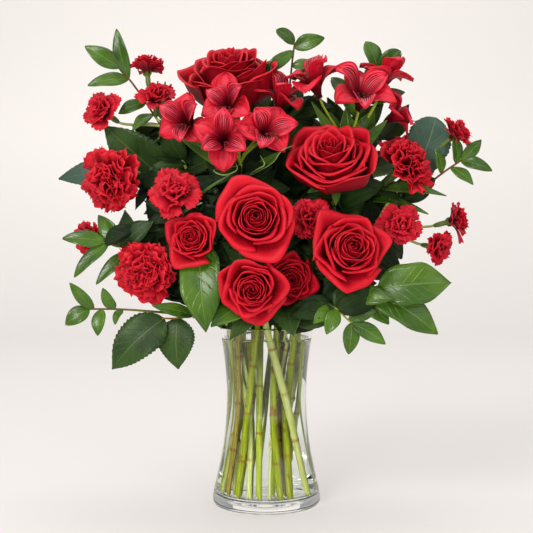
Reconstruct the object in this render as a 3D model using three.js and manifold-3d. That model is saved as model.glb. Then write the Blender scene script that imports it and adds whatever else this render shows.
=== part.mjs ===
// A mixed bunch of carnations, roses and alstroemeria in a waisted clear glass vase of water.
// Millimetres, +Z up. The origin is the middle of the vase's underside, and -Y is the side
// that the bunch faces. Every stem stands in the water, passes between the others in the
// vase's waist and fans out above the rim, so that no stem touches another.

import * as THREE from 'three';
import { ConvexGeometry } from 'three/addons/geometries/ConvexGeometry.js';
import { mergeVertices } from 'three/addons/utils/BufferGeometryUtils.js';
import Module from 'manifold-3d';

const wasm = await Module();
wasm.setup();

// ---------------------------------------------------------------- driving dimensions

const vaseHeight = 181;
const glassWall = 3;
const glassFloor = 10;
const floorRound = 4;
const footRadius = 52;
// Outer radius of the glass at each height: a wide foot, a narrow waist and a flared rim.
const vaseOutline = [
  [8, 54.3], [20, 52], [42, 47], [66, 42.7], [95, 40.2], [122, 40.2],
  [145, 42], [163, 44.4], [vaseHeight, 47.5],
];
const vaseSides = 20;
const waterLevel = 168;
const gap = 0.3;

const stemFoot = 14;
const waistLevel = 98;
const climbSteps = 3;
const branchRadius = 1.5;
const stalkRadius = 1.2;

const petalThickness = 0.8;
const leafThickness = 0.8;
const petalRuffle = 0.07;
const guardWidth = 0.45;

// The calyx of a rose in mm and of a carnation as a share of its radius, and how far the
// stem runs up into it. A floret has none and sits just clear of the end of its branch.
const roseCalyx = 11;
const carnationCalyx = 0.75;
const stemInCalyx = 2;
const floretGap = 0.5;
// How far behind its opening a bloom meets its calyx or branch, as a share of its radius.
const carnationSeat = 0.75;
const floretSeat = 0.8;

const colours = {
  glass: '#dfe9e6',
  water: '#cfdcd6',
  rose: '#c21326',
  carnation: '#c8102e',
  spray: '#b8142b',
  alstroemeria: '#c9283a',
  stem: '#5f8a3a',
  paleStem: '#9db57a',
  roseLeaf: '#3f6b2f',
  darkLeaf: '#2b4a33',
};

// ------------------------------------------------------------------ placing of stems

// Where each stem passes the rim, the waist and the water's floor, as [x, y] at those
// heights, and how thick it is.
const stems = {
  rose_centre: { rim: [-9, -31], waist: [-17.2, -25.3], foot: [-26.8, -31.9], radius: 2.8 },
  rose_low_centre: { rim: [0, -39], waist: [20.4, -24.3], foot: [36.5, -18.4], radius: 3.0 },
  rose_low_right: { rim: [10, -25], waist: [5.9, -22.9], foot: [12.7, -40], radius: 2.6 },
  rose_right: { rim: [27, -28], waist: [16.5, -11.5], foot: [21.1, -33.7], radius: 3.0 },
  rose_left: { rim: [-27, -27], waist: [-25.2, -15.7], foot: [-35.2, -22.8], radius: 2.6 },
  rose_upper_right: { rim: [17, -6], waist: [8, -4], foot: [16, -22], radius: 3.0 },
  rose_top_left: { rim: [-12, 6], waist: [-12, 3], foot: [-22, -4], radius: 3.0 },
  carnation_left: { rim: [-32, -6], waist: [-22.3, -4.1], foot: [-37.6, -7.4], radius: 2.2 },
  carnation_low_left: { rim: [-37, -14], waist: [-15.4, -10], foot: [-16.1, -39.3], radius: 2.2 },
  carnation_right: { rim: [28, 6], waist: [15.7, 8.8], foot: [9.2, -4.1], radius: 2.2 },
  spray_left: { rim: [-23, 4], waist: [-19.7, 6.1], foot: [-27.7, -15.9], radius: 1.9 },
  spray_mid_left: { rim: [-25, -14], waist: [-11.6, -5.5], foot: [-13, -26], radius: 1.7 },
  spray_right: { rim: [32, -6], waist: [23.3, 2.2], foot: [12.8, 10.1], radius: 2.0 },
  spray_centre: { rim: [20, -17], waist: [6.2, -14.9], foot: [2.5, -39.3], radius: 1.7 },
  alstroemeria_left: { rim: [-5, -11], waist: [-6, -14], foot: [-7, -39], radius: 2.4 },
  alstroemeria_right: { rim: [14, 4], waist: [8, 8], foot: [4, -16], radius: 2.4 },
  greens_top_left: { rim: [-25, 12], waist: [-25, 12], foot: [-38, 12], radius: 1.7 },
  greens_left: { rim: [-39, -6], waist: [-30.9, 3], foot: [-43.2, 2], radius: 1.6 },
  greens_low_left: { rim: [-33, -22], waist: [-28.8, -10.6], foot: [-41.6, -11.6], radius: 1.6 },
  greens_right: { rim: [34, 12], waist: [28, 13], foot: [40, 16], radius: 1.7 },
  greens_low_right: { rim: [33, -19], waist: [29, -8], foot: [43, -4], radius: 1.6 },
  greens_top: { rim: [4, 8], waist: [0, 8], foot: [-7, -6], radius: 1.7 },
  greens_top_right: { rim: [20, 14], waist: [13, 17], foot: [4, 20], radius: 1.7 },
  greens_back_left: { rim: [-15, 25], waist: [-14, 24], foot: [-24, 26], radius: 1.9 },
  greens_back: { rim: [4, 32], waist: [-2, 28], foot: [-10, 36], radius: 1.9 },
  greens_back_right: { rim: [22, 27], waist: [10, 26], foot: [6, 36], radius: 1.9 },
};

// Each rose: the middle of its opening, the way it faces, its radius, its depth from
// opening to calyx, and the direction of its first outer petal in degrees.
const roses = {
  rose_centre: { at: [-10, -113, 292], face: [0, -0.97, 0.2], radius: 40, depth: 36, turn: -68 },
  rose_low_centre: { at: [-14, -110, 222], face: [-0.08, -0.98, -0.1], radius: 37, depth: 33, turn: -73 },
  rose_right: { at: [82, -98, 265], face: [0.2, -0.93, 0.25], radius: 43, depth: 38, turn: -90 },
  rose_left: { at: [-73, -92, 272], face: [-0.25, -0.93, 0.15], radius: 30, depth: 28, turn: -110 },
  rose_low_right: { at: [25, -68, 229], face: [0.15, -0.97, -0.05], radius: 29, depth: 26, turn: -60 },
  rose_upper_right: { at: [61, -58, 352], face: [-0.12, -0.7, 0.7], radius: 45, depth: 38, turn: -20 },
  rose_top_left: { at: [-38, 0, 436], face: [-0.17, -0.42, 0.9], radius: 51, depth: 42, turn: -165 },
};

const carnations = {
  carnation_left: { at: [-158, -42, 322], face: [-0.5, -0.8, -0.2], radius: 36 },
  carnation_low_left: { at: [-118, -70, 237], face: [-0.25, -0.95, -0.05], radius: 33 },
  carnation_right: { at: [148, -15, 348], face: [0.6, -0.5, 0.5], radius: 33 },
};

// Small carnations, several to a branching stem.
const sprayBlooms = {
  top: { stem: 'spray_left', at: [-121, 15, 447], face: [-0.1, 0.2, 0.95], radius: 20 },
  far_left: { stem: 'spray_left', at: [-167, -5, 398], face: [-0.45, -0.7, 0.35], radius: 23 },
  upper_left: { stem: 'spray_left', at: [-108, -8, 415], face: [0.1, -0.6, 0.75], radius: 22 },
  low_left: { stem: 'spray_left', at: [-186, 18, 266], face: [-0.7, -0.5, -0.1], radius: 20 },
  mid_left: { stem: 'spray_mid_left', at: [-85, -84, 317], face: [0, -0.85, 0.45], radius: 27 },
  upper_right: { stem: 'spray_right', at: [197, 5, 378], face: [0.7, -0.2, 0.6], radius: 20 },
  far_right: { stem: 'spray_right', at: [198, 5, 288], face: [0.93, -0.2, 0.25], radius: 21 },
  low_right: { stem: 'spray_right', at: [175, -25, 258], face: [0.6, -0.7, -0.1], radius: 21 },
  right: { stem: 'spray_right', at: [131, -52, 283], face: [0.1, -0.95, 0.2], radius: 23 },
  centre: { stem: 'spray_centre', at: [40, -68, 290], face: [0, -0.95, 0.2], radius: 22 },
};

// Alstroemeria florets, which radiate from the top of their stem.
const florets = {
  left: { stem: 'alstroemeria_left', at: [-80, -46, 383], face: [-0.35, -0.85, 0.3], radius: 27, turn: 90 },
  mid_left: { stem: 'alstroemeria_left', at: [-41, -68, 364], face: [-0.05, -0.95, 0.15], radius: 27, turn: 30 },
  middle: { stem: 'alstroemeria_left', at: [1, -58, 374], face: [0.25, -0.85, 0.4], radius: 29, turn: 60 },
  upper_left: { stem: 'alstroemeria_left', at: [-38, -50, 398], face: [-0.2, -0.9, 0.4], radius: 22, turn: 90 },
  upper_middle: { stem: 'alstroemeria_left', at: [15, -12, 408], face: [0.3, -0.3, 0.8], radius: 25, turn: 20 },
  top: { stem: 'alstroemeria_right', at: [47, -14, 424], face: [-0.3, -0.2, 0.9], radius: 24, turn: 60 },
  upper_right: { stem: 'alstroemeria_right', at: [93, -28, 410], face: [0.1, -0.65, 0.7], radius: 28, turn: 90 },
  top_right: { stem: 'alstroemeria_right', at: [117, 6, 428], face: [0.25, 0.1, 0.9], radius: 23, turn: 0 },
  right: { stem: 'alstroemeria_right', at: [132, 2, 390], face: [0.8, -0.2, 0.4], radius: 20, turn: 40 },
};

// Where the branching stems divide.
const forks = {
  spray_left: [-92, 8, 372],
  spray_right: [103, -14, 268],
  alstroemeria_left: [-26, -14, 342],
  alstroemeria_right: [82, 4, 352],
};
// This bloom's branch leaves its stem just above the rim, far below the fork.
const lowestSpray = 'spray_bloom_low_left';

// The twig that each piece of greenery ends in, after its stem has left the vase.
const twigs = {
  greens_top_left: [[-75, 24, 330], [-122, 14, 405], [-146, 8, 438]],
  greens_left: [[-105, -22, 232], [-132, -40, 256], [-156, -46, 266]],
  greens_low_left: [[-70, -32, 193], [-134, -35, 199], [-172, -38, 200]],
  greens_right: [[120, 26, 285], [170, 6, 328], [195, 2, 346]],
  greens_low_right: [[52, -42, 198], [62, -68, 205], [80, -76, 190]],
  greens_top: [[15, 12, 330], [24, 14, 427], [28, 12, 462]],
  greens_top_right: [[75, 34, 350], [104, 12, 415], [113, 9, 439]],
  greens_back_left: [[-60, 62, 290], [-84, 66, 345], [-100, 58, 385]],
  greens_back: [[8, 74, 290], [2, 82, 350], [-4, 70, 400]],
  greens_back_right: [[72, 60, 290], [98, 62, 335], [118, 52, 370]],
};

// Leaf stalks that leave a stem lower down and carry large leaves clear of the others.
const stalks = {
  rose_left: [[[-36, -37, 198], [-58, -50, 197], [-84, -60, 193], [-100, -62, 193]]],
  rose_right: [[[45, -37, 208], [70, -50, 214], [96, -60, 220], [112, -62, 221]]],
  greens_top_left: [[[-75, 24, 330], [-92, 22, 328], [-104, 14, 326]]],
  rose_top_left: [[[-24, 12, 325], [-14, 22, 350], [4, 26, 372]]],
};

// Leaves of each stem: [where it grows from, tip, greatest width, toothed].
const leaves = {
  greens_top_left: [
    [[-146, 8, 438], [-181, 4, 459], 18], [[-138, 10, 427], [-150, 10, 477], 15],
    [[-138, 10, 427], [-178, 2, 420], 16], [[-122, 14, 405], [-148, 6, 392], 15],
    [[-115, 16, 393], [-134, 2, 374], 15], [[-100, 15, 326], [-163, 2, 381], 46, true],
  ],
  greens_left: [
    [[-156, -46, 266], [-196, -50, 269], 17], [[-152, -45, 263], [-184, -56, 232], 15],
    [[-132, -40, 256], [-163, -56, 225], 14], [[-140, -42, 260], [-164, -30, 291], 18],
    [[-128, -38, 253], [-140, -14, 296], 22],
  ],
  greens_low_left: [
    [[-167, -38, 200], [-190, -46, 226], 12], [[-172, -38, 200], [-195, -42, 185], 18],
    [[-148, -36, 199], [-158, -46, 221], 13], [[-160, -38, 200], [-163, -48, 175], 14],
    [[-141, -36, 199], [-146, -50, 186], 10],
  ],
  greens_right: [
    [[190, 3, 342], [186, -4, 370], 13], [[195, 2, 346], [214, 0, 366], 13],
    [[194, 2, 345], [224, -6, 335], 14], [[184, 4, 338], [205, -8, 321], 13],
    [[176, 5, 332], [168, -2, 357], 12], [[130, 22, 294], [169, 18, 390], 34],
  ],
  greens_low_right: [
    [[62, -68, 205], [44, -80, 190], 13], [[66, -70, 202], [56, -84, 180], 15],
    [[80, -76, 190], [77, -82, 161], 16], [[80, -76, 190], [112, -78, 170], 16],
    [[77, -75, 192], [104, -70, 201], 12],
  ],
  greens_top: [
    [[28, 12, 462], [10, 8, 477], 13], [[28, 12, 458], [58, 10, 470], 15],
    [[27, 12, 456], [-2, 4, 435], 13], [[25, 13, 440], [56, 14, 448], 13],
    [[21, 14, 400], [-6, 22, 430], 16],
  ],
  greens_top_right: [
    [[111, 9, 435], [97, 6, 465], 16], [[113, 9, 439], [134, 8, 455], 13],
    [[106, 11, 420], [77, 6, 435], 13], [[100, 15, 405], [140, 22, 415], 16],
  ],
  greens_back_left: [
    [[-40, 52, 245], [-92, 66, 262], 40], [[-60, 62, 290], [-18, 86, 318], 34],
    [[-66, 63, 305], [-132, 66, 322], 38], [[-84, 66, 345], [-44, 76, 384], 30],
    [[-90, 63, 360], [-140, 50, 384], 28], [[-100, 58, 385], [-104, 44, 428], 26],
  ],
  greens_back: [
    [[8, 58, 240], [44, 84, 252], 36], [[8, 74, 290], [-26, 92, 285], 34],
    [[5, 78, 320], [46, 92, 340], 36], [[2, 82, 350], [-30, 92, 370], 28],
    [[-2, 74, 385], [40, 76, 408], 26], [[-4, 70, 400], [-12, 54, 444], 26],
  ],
  greens_back_right: [
    [[50, 50, 245], [96, 62, 246], 38], [[72, 60, 290], [140, 52, 296], 38],
    [[86, 61, 312], [66, 76, 350], 28], [[98, 62, 335], [150, 46, 350], 30],
    [[118, 52, 370], [146, 38, 404], 26],
  ],
  rose_left: [
    [[-98, -62, 193], [-147, -66, 145], 44, true], [[-84, -60, 193], [-84, -66, 145], 38],
    [[-70, -55, 195], [-108, -74, 206], 13],
  ],
  rose_low_centre: [
    [[-8, -62, 207], [-64, -92, 186], 34], [[-7, -58, 203], [-34, -90, 175], 22],
  ],
  rose_low_right: [[[16, -32, 208], [26, -84, 178], 26]],
  rose_right: [
    [[110, -62, 221], [176, -62, 227], 40], [[104, -61, 220], [162, -64, 179], 36],
    [[84, -56, 217], [116, -68, 188], 24], [[72, -51, 214], [120, -78, 212], 20],
  ],
  rose_top_left: [
    [[2, 26, 370], [44, 18, 404], 30], [[-12, 22, 352], [-34, 34, 388], 26],
    [[-8, 22, 356], [34, 8, 362], 26],
  ],
  rose_upper_right: [[[45, -15, 270], [86, 28, 300], 28]],
  carnation_left: [[[-126, -8, 312], [-208, 4, 327], 28], [[-70, -5, 245], [-96, 18, 288], 7]],
  carnation_low_left: [[[-74, -26, 205], [-108, -6, 214], 7]],
  carnation_right: [
    [[112, 4, 310], [176, -24, 310], 13], [[104, 5, 300], [158, -28, 292], 11],
    [[96, 6, 290], [124, 30, 330], 7],
  ],
  spray_mid_left: [[[-78, -48, 285], [-14, -72, 342], 5], [[-76, -46, 280], [-60, -92, 305], 5]],
  spray_left: [[[-60, 6, 300], [-84, 22, 340], 7]],
  spray_right: [[[80, -10, 245], [112, 12, 300], 7]],
  alstroemeria_left: [
    [[-22, -13, 328], [-101, -52, 388], 15], [[-20, -13, 320], [12, -34, 352], 13],
    [[-24, -14, 335], [-52, 16, 372], 13],
  ],
  alstroemeria_right: [
    [[72, 4, 335], [44, -22, 402], 13], [[80, 4, 348], [118, -20, 384], 13],
    [[78, 4, 345], [112, -24, 330], 14],
  ],
};

const stemColours = {
  rose: colours.roseLeaf,
  carnation: colours.paleStem,
  spray: colours.paleStem,
  alstroemeria: colours.stem,
  greens: colours.darkLeaf,
};

// ------------------------------------------------------------------------- solids

const vector = ([x, y, z]) => new THREE.Vector3(x, y, z);

// A closed three.js geometry as a solid. Triangles that merging made empty are dropped,
// and a geometry that was wound inwards is turned round.
function solidOf(geometry) {
  const bare = geometry.index ? geometry.toNonIndexed() : geometry.clone();
  bare.deleteAttribute('normal');
  bare.deleteAttribute('uv');
  const merged = mergeVertices(bare, 1e-4);
  const places = merged.getAttribute('position').array;
  const corners = merged.index.array;
  const kept = [];
  let sixVolumes = 0;
  for (let i = 0; i < corners.length; i += 3) {
    const [a, b, c] = [corners[i], corners[i + 1], corners[i + 2]];
    if (a === b || b === c || a === c) continue;
    kept.push([a, b, c]);
    const [p, q, r] = [a, b, c].map((k) => new THREE.Vector3().fromArray(places, 3 * k));
    sixVolumes += p.dot(q.cross(r));
  }
  const wound = sixVolumes > 0 ? kept : kept.map(([a, b, c]) => [a, c, b]);
  const mesh = new wasm.Mesh({
    numProp: 3,
    vertProperties: Float32Array.from(places),
    triVerts: Uint32Array.from(wound.flat()),
  });
  return new wasm.Manifold(mesh);
}

function joined(solids) {
  return solids.reduce((whole, piece) => whole.add(piece));
}

// The largest of the bodies that a cut leaves. The scraps beside it are dropped.
function mainBody(solid) {
  const bodies = solid.decompose();
  return bodies.reduce((best, body) => (body.volume() > best.volume() ? body : best));
}

function overlap(one, other) {
  const a = one.boundingBox();
  const b = other.boundingBox();
  const apart = [0, 1, 2].some((k) => a.min[k] > b.max[k] || b.min[k] > a.max[k]);
  return apart ? 0 : one.intersect(other).volume();
}

// A solid turned round the Z axis from points [radius, height].
function turned(profile, sides) {
  const points = profile.map(([radius, height]) => new THREE.Vector2(radius, height));
  return new THREE.LatheGeometry(points, sides).rotateX(Math.PI / 2);
}

// A route that passes straight from each given point to the next, one step each.
class Route extends THREE.Curve {
  constructor(points) {
    super();
    this.points = points;
  }

  getPoint(share) {
    const place = Math.min(Math.max(share, 0), 1) * (this.points.length - 1);
    const k = Math.min(Math.floor(place), this.points.length - 2);
    return this.points[k].clone().lerp(this.points[k + 1], place - k);
  }

  getPointAt(share) {
    return this.getPoint(share);
  }

  getTangentAt(share) {
    return this.getTangent(share);
  }
}

// A rod with few sides through the given points, as thick all along. Extra makes it
// thicker, and longer at its end.
function rod(points, baseRadius, sides, extra = 0) {
  const [before, last] = points.slice(-2);
  const end = last.clone().addScaledVector(last.clone().sub(before).normalize(), extra);
  const radius = baseRadius + extra;
  const section = new THREE.Shape();
  for (let k = 0; k < sides; k += 1) {
    const angle = (2 * Math.PI * k) / sides;
    const corner = [radius * Math.cos(angle), radius * Math.sin(angle)];
    if (k === 0) section.moveTo(...corner);
    else section.lineTo(...corner);
  }
  section.closePath();
  const extrudePath = new Route([...points.slice(0, -1), end]);
  const settings = { steps: points.length - 1, extrudePath };
  return solidOf(new THREE.ExtrudeGeometry(section, settings));
}

// Triangles between two rows of points that may hold different numbers of them.
function strip(lower, upper, firstLower, firstUpper) {
  const triangles = [];
  let i = 0;
  let j = 0;
  while (i < lower - 1 || j < upper - 1) {
    const nextLower = lower > 1 ? (i + 1) / (lower - 1) : 2;
    const nextUpper = upper > 1 ? (j + 1) / (upper - 1) : 2;
    if (i < lower - 1 && (nextLower <= nextUpper || j === upper - 1)) {
      triangles.push([firstLower + i, firstLower + i + 1, firstUpper + j]);
      i += 1;
    } else {
      triangles.push([firstLower + i, firstUpper + j + 1, firstUpper + j]);
      j += 1;
    }
  }
  return triangles;
}

// A thin sheet as a closed solid: both faces lie half the thickness from its middle
// surface, split into the same triangles, with a wall round its open edges.
function sheet(points, face, thickness) {
  const total = points.length;
  const normals = points.map(() => new THREE.Vector3());
  for (const [a, b, c] of face) {
    const edge = points[b].clone().sub(points[a]);
    const normal = edge.cross(points[c].clone().sub(points[a]));
    for (const k of [a, b, c]) normals[k].add(normal);
  }
  normals.forEach((normal) => normal.normalize().multiplyScalar(thickness / 2));
  const front = points.map((point, k) => point.clone().add(normals[k]));
  const back = points.map((point, k) => point.clone().sub(normals[k]));
  const triangles = face.map(([a, b, c]) => [a, b, c]);
  triangles.push(...face.map(([a, b, c]) => [a + total, c + total, b + total]));
  const edges = new Set(face.flatMap(([a, b, c]) => [`${a} ${b}`, `${b} ${c}`, `${c} ${a}`]));
  for (const edge of edges) {
    const [a, b] = edge.split(' ').map(Number);
    if (edges.has(`${b} ${a}`)) continue;
    triangles.push([b, a, a + total], [b, a + total, b + total]);
  }
  const geometry = new THREE.BufferGeometry().setFromPoints([...front, ...back]);
  geometry.setIndex(triangles.flat());
  return solidOf(geometry);
}

// A blade is a sheet whose middle surface is rows of points from its root to its tip.
function blade(rows, thickness) {
  const face = [];
  let first = 0;
  for (let r = 0; r + 1 < rows.length; r += 1) {
    const next = first + rows[r].length;
    face.push(...strip(rows[r].length, rows[r + 1].length, first, next));
    first = next;
  }
  return sheet(rows.flat(), face, thickness);
}

// The turn and place of a bloom: local z is the way it faces, local y points up.
function pose(place, face) {
  const w = vector(face).normalize();
  const u = new THREE.Vector3(0, 0, 1).cross(w).normalize();
  const v = w.clone().cross(u);
  return new THREE.Matrix4().makeBasis(u, v, w).setPosition(place);
}

function placed(solid, place, face) {
  return solid.transform(pose(place, face).elements);
}

// The point that lies so far behind the middle of a bloom's opening.
function behind(bloom, distance) {
  return vector(bloom.at).addScaledVector(vector(bloom.face).normalize(), -distance);
}

// -------------------------------------------------------------------- vase and water

function innerRadius(height) {
  const spans = vaseOutline.slice(1).map((upper, k) => [vaseOutline[k], upper]);
  const [lower, upper] = spans.find(([, above]) => height <= above[0]) ?? spans.at(-1);
  const share = (height - lower[0]) / (upper[0] - lower[0]);
  return lower[1] + share * (upper[1] - lower[1]) - glassWall;
}

function makeVase() {
  const outer = vaseOutline.map(([height, radius]) => [radius, height]);
  const inner = vaseOutline.slice(1).map(([height]) => [innerRadius(height), height]);
  const floor = [[0, glassFloor], [innerRadius(glassFloor) - floorRound, glassFloor]];
  const profile = [[0, 0], [footRadius, 0], ...outer, ...[...floor, ...inner].reverse()];
  return solidOf(turned(profile, vaseSides));
}

function makeWater(holes) {
  const below = vaseOutline.slice(1).filter(([height]) => height < waterLevel - gap);
  const levels = [...below.map(([height]) => height), waterLevel];
  const wall = levels.map((height) => [innerRadius(height) - gap, height]);
  const floor = [innerRadius(glassFloor) - floorRound - gap, glassFloor + gap];
  const profile = [[0, glassFloor + gap], floor, ...wall, [0, waterLevel]];
  return mainBody(solidOf(turned(profile, vaseSides)).subtract(joined(holes)));
}

// --------------------------------------------------------------------------- stems

// Inside the vase a stem runs straight from its foot to the waist and on to the rim. The
// hole that it stands in starts a little lower.
function vasePoints({ rim, waist, foot }, below) {
  const [low, middle, high] = [
    [...foot, stemFoot], [...waist, waistLevel], [...rim, vaseHeight],
  ].map(vector);
  return [low.lerp(middle, -below / (waistLevel - stemFoot)), middle, high];
}

// The point of the given routes that lies nearest to a place.
function seatOn(routes, place) {
  const near = routes.flatMap((points) => points.slice(1).map((to, k) => (
    new THREE.Line3(points[k], to).closestPointToPoint(place, true, new THREE.Vector3())
  )));
  return near.reduce((best, point) => (
    point.distanceTo(place) < best.distanceTo(place) ? point : best
  ));
}

// From the rim a stem climbs in one easy bend and arrives at its end along the given way.
function climb(start, end, arrival) {
  const span = end.clone().sub(start);
  const length = span.length();
  const leaving = span.normalize().add(new THREE.Vector3(0, 0, 1)).normalize();
  const bend = new THREE.CubicBezierCurve3(
    start,
    start.clone().addScaledVector(leaving, 0.35 * length),
    end.clone().addScaledVector(arrival, -0.3 * length),
    end,
  );
  return bend.getPoints(climbSteps).slice(1);
}

// Where the stem or branch of a bloom ends: inside its calyx, or just short of a floret.
function stemEnd(bloom) {
  return behind(bloom, bloom.seat + (bloom.calyx ? bloom.calyx - stemInCalyx : floretGap));
}

// A branch bends once between its fork and its bloom.
function branchRoute(start, bloom) {
  const bend = climb(start, stemEnd(bloom), vector(bloom.face).normalize());
  return [start, bend[0], bend.at(-1)];
}

// ------------------------------------------------------------------------- flowers

// A head is a closed bud or tuft with rings of petals round it, each ring a cup of lobes.
// A ring gives the number of its petals and, as shares of the bloom's radius and depth,
// the bottom of the cup, the notch between two petals, and their belly and lip.
const roseHead = {
  bud: [[0, 0], [0.12, 0], [0.12, 0.1], [0.34, 0.55], [0.27, 0.98], [0, 0.8]],
  rings: [
    { count: 5, bottom: 0.1, notch: [0.5, 0.5], belly: [0.57, 0.44], lip: [0.63, 0.98] },
    { count: 6, bottom: 0.04, notch: [0.7, 0.36], belly: [0.78, 0.3], lip: [1.0, 0.76] },
  ],
};
const carnationHead = {
  bud: [[0, 0], [0.1, 0], [0.1, 0.1], [0.3, 0.98], [0, 0.86]],
  rings: [
    { count: 5, bottom: 0.1, notch: [0.34, 0.44], belly: [0.44, 0.52], lip: [0.68, 0.86] },
    { count: 8, bottom: 0.04, notch: [0.5, 0.24], belly: [0.62, 0.3], lip: [0.99, 0.47] },
  ],
};
const sprayHead = {
  bud: [[0, 0], [0.14, 0], [0.14, 0.1], [0.46, 0.96], [0, 0.82]],
  rings: [
    { count: 6, bottom: 0.06, notch: [0.5, 0.28], belly: [0.62, 0.36], lip: [0.98, 0.58] },
  ],
};

// One ring of petals. A plain lip dips at both ends or runs out to a tip, a ruffled one is
// a zigzag, and every other petal may be narrower and raised.
function lobedCup(ring, turn, radius, depth, ruffle) {
  const { tip = 0, narrow = 1, raised = 0 } = ring;
  const place = (angle, radial, height) => new THREE.Vector3(
    radius * radial * Math.cos(angle),
    radius * radial * Math.sin(angle),
    depth * height,
  );
  const half = Math.PI / ring.count;
  const lips = ruffle ? [-0.92, -0.3, 0.3, 0.92] : [-0.9, 0, 0.9];
  const stride = 2 + lips.length;
  const points = [place(0, 0, ring.bottom)];
  const face = [];
  for (let n = 0; n < ring.count; n += 1) {
    const middle = turn + 2 * half * n;
    const width = half * (n % 2 === 0 ? 1 : narrow);
    const rise = n % 2 === 0 ? 0 : raised;
    const [bellyRadial, bellyHeight] = ring.belly;
    points.push(place(middle - half, ...ring.notch));
    points.push(place(middle, bellyRadial, bellyHeight + rise));
    lips.forEach((across, k) => {
      const dip = ruffle ? 0.04 : 0.1 * across * across;
      const wave = ruffle * (k % 2 === 0 ? -1 : 1);
      const reach = ring.lip[0] * (1 - dip) + 0.5 * wave + tip * (1 - Math.abs(across));
      points.push(place(middle + width * across, reach, ring.lip[1] - dip + wave + rise));
    });
    const notch = 1 + stride * n;
    const belly = notch + 1;
    const nextNotch = 1 + stride * ((n + 1) % ring.count);
    const rim = [notch, ...lips.map((_, k) => belly + 1 + k), nextNotch];
    face.push([0, notch, belly], [0, belly, nextNotch]);
    rim.slice(1).forEach((to, k) => face.push([belly, rim[k], to]));
  }
  return sheet(points, face, petalThickness);
}

// The rings inside the outermost one are each turned by half a petal of a rose.
function makeHead(bloom, form, ruffle) {
  const { radius, depth, turn } = bloom;
  const bud = solidOf(turned(form.bud.map(([r, h]) => [r * radius, h * depth]), 5));
  const rings = form.rings.map((ring, k) => {
    const angle = THREE.MathUtils.degToRad(turn + 36 * (form.rings.length - 1 - k));
    return lobedCup(ring, angle, radius, depth, ruffle);
  });
  return placed(mainBody(joined([bud, ...rings])), behind(bloom, bloom.seat), bloom.face);
}

// A calyx stands on the bloom's axis, its top just clear of the bloom. Extra makes it wider.
function calyxOf(bloom, profile, extra) {
  const points = profile.map(([r, h]) => [r > 0 ? r + extra : 0, h - gap]);
  return placed(solidOf(turned(points, 5)), behind(bloom, bloom.seat), bloom.face);
}

// The sepals of a rose are the five corners of the skirt under its petals.
function makeRoseCalyx(bloom, extra) {
  const hip = [[0, gap - roseCalyx], [3.2, 1.8 - roseCalyx], [3.4, -4.7]];
  const skirt = [[0.34 * bloom.radius, -6.2], [0.13 * bloom.radius, 0], [0, 0]];
  return calyxOf(bloom, [...hip, ...skirt], extra);
}

function makeCarnationCalyx(bloom, extra) {
  const tube = [[0, -carnationCalyx], [0.13, -0.45], [0.125, 0], [0, 0]];
  return calyxOf(bloom, tube.map((point) => point.map((c) => c * bloom.radius)), extra);
}

// An alstroemeria floret: a funnel of three broad outer tepals and three narrow inner ones.
const floretRing = {
  count: 6, bottom: 0.02, notch: [0.24, 0.42], belly: [0.56, 0.74], lip: [0.78, 0.86],
  tip: 0.26, narrow: 0.7, raised: 0.09,
};

function makeFloret(bloom) {
  const { radius, depth, turn } = bloom;
  const cup = lobedCup(floretRing, THREE.MathUtils.degToRad(turn), radius, depth, 0);
  return placed(cup, behind(bloom, bloom.seat), bloom.face);
}

// -------------------------------------------------------------------------- leaves

// A leaf from its root to its tip, arched along the rib and waved from side to side. It
// faces outwards and upwards, and more to the front unless it grows at the back. A toothed
// one has a zigzag edge. A margin makes it larger all round.
function makeLeaf([root, tip, width, toothed], margin) {
  const start = vector(root);
  const axis = vector(tip).sub(start);
  const length = axis.length();
  const outward = start.clone().add(vector(tip)).setZ(0).normalize();
  const atBack = start.y + tip[1] > 80;
  if (!atBack) outward.multiplyScalar(0.45).add(new THREE.Vector3(0, -1, 0)).normalize();
  outward.setZ(atBack ? 0.6 : 0.35);
  const side = axis.clone().cross(outward).normalize();
  const lift = side.clone().cross(axis).normalize();
  const stations = toothed ? [0.22, 0.42, 0.6, 0.82] : [0.3, 0.66];
  const rib = (share) => start.clone().addScaledVector(axis, share)
    .addScaledVector(lift, 0.1 * length * Math.sin(Math.PI * share));
  const rows = stations.map((share, k) => {
    const swell = Math.sin(Math.PI * (0.14 + 0.8 * share)) ** 0.7;
    const tooth = toothed && k % 2 === 1 ? 0.8 : 1;
    const half = 0.5 * width * swell * tooth + 2 * margin;
    const wave = 0.2 * half * (k % 2 === 0 ? 1 : -1);
    return [-1, 1].map((end) => rib(share).addScaledVector(side, end * half)
      .addScaledVector(lift, end * wave));
  });
  return blade([[start], ...rows, [rib(1 + (3 * margin) / length)]], leafThickness + 2 * margin);
}

// ----------------------------------------------------------------------- assembling

// The blooms by node name. Each gets its depth, the distance from its opening to its seat
// and the length of its calyx, and the solid that these make.
const blooms = new Map();
for (const [stem, rose] of Object.entries(roses)) {
  const bloom = { ...rose, stem, seat: rose.depth, calyx: roseCalyx, colour: colours.rose };
  bloom.solid = makeHead(bloom, roseHead, 0);
  blooms.set(`${stem}_bloom`, bloom);
}

function addCarnation(name, bloom, form, turn, colour) {
  const { radius } = bloom;
  const lengths = { depth: radius, seat: carnationSeat * radius, calyx: carnationCalyx * radius };
  const whole = { ...bloom, ...lengths, turn, colour };
  blooms.set(name, { ...whole, solid: makeHead(whole, form, petalRuffle) });
}

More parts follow.
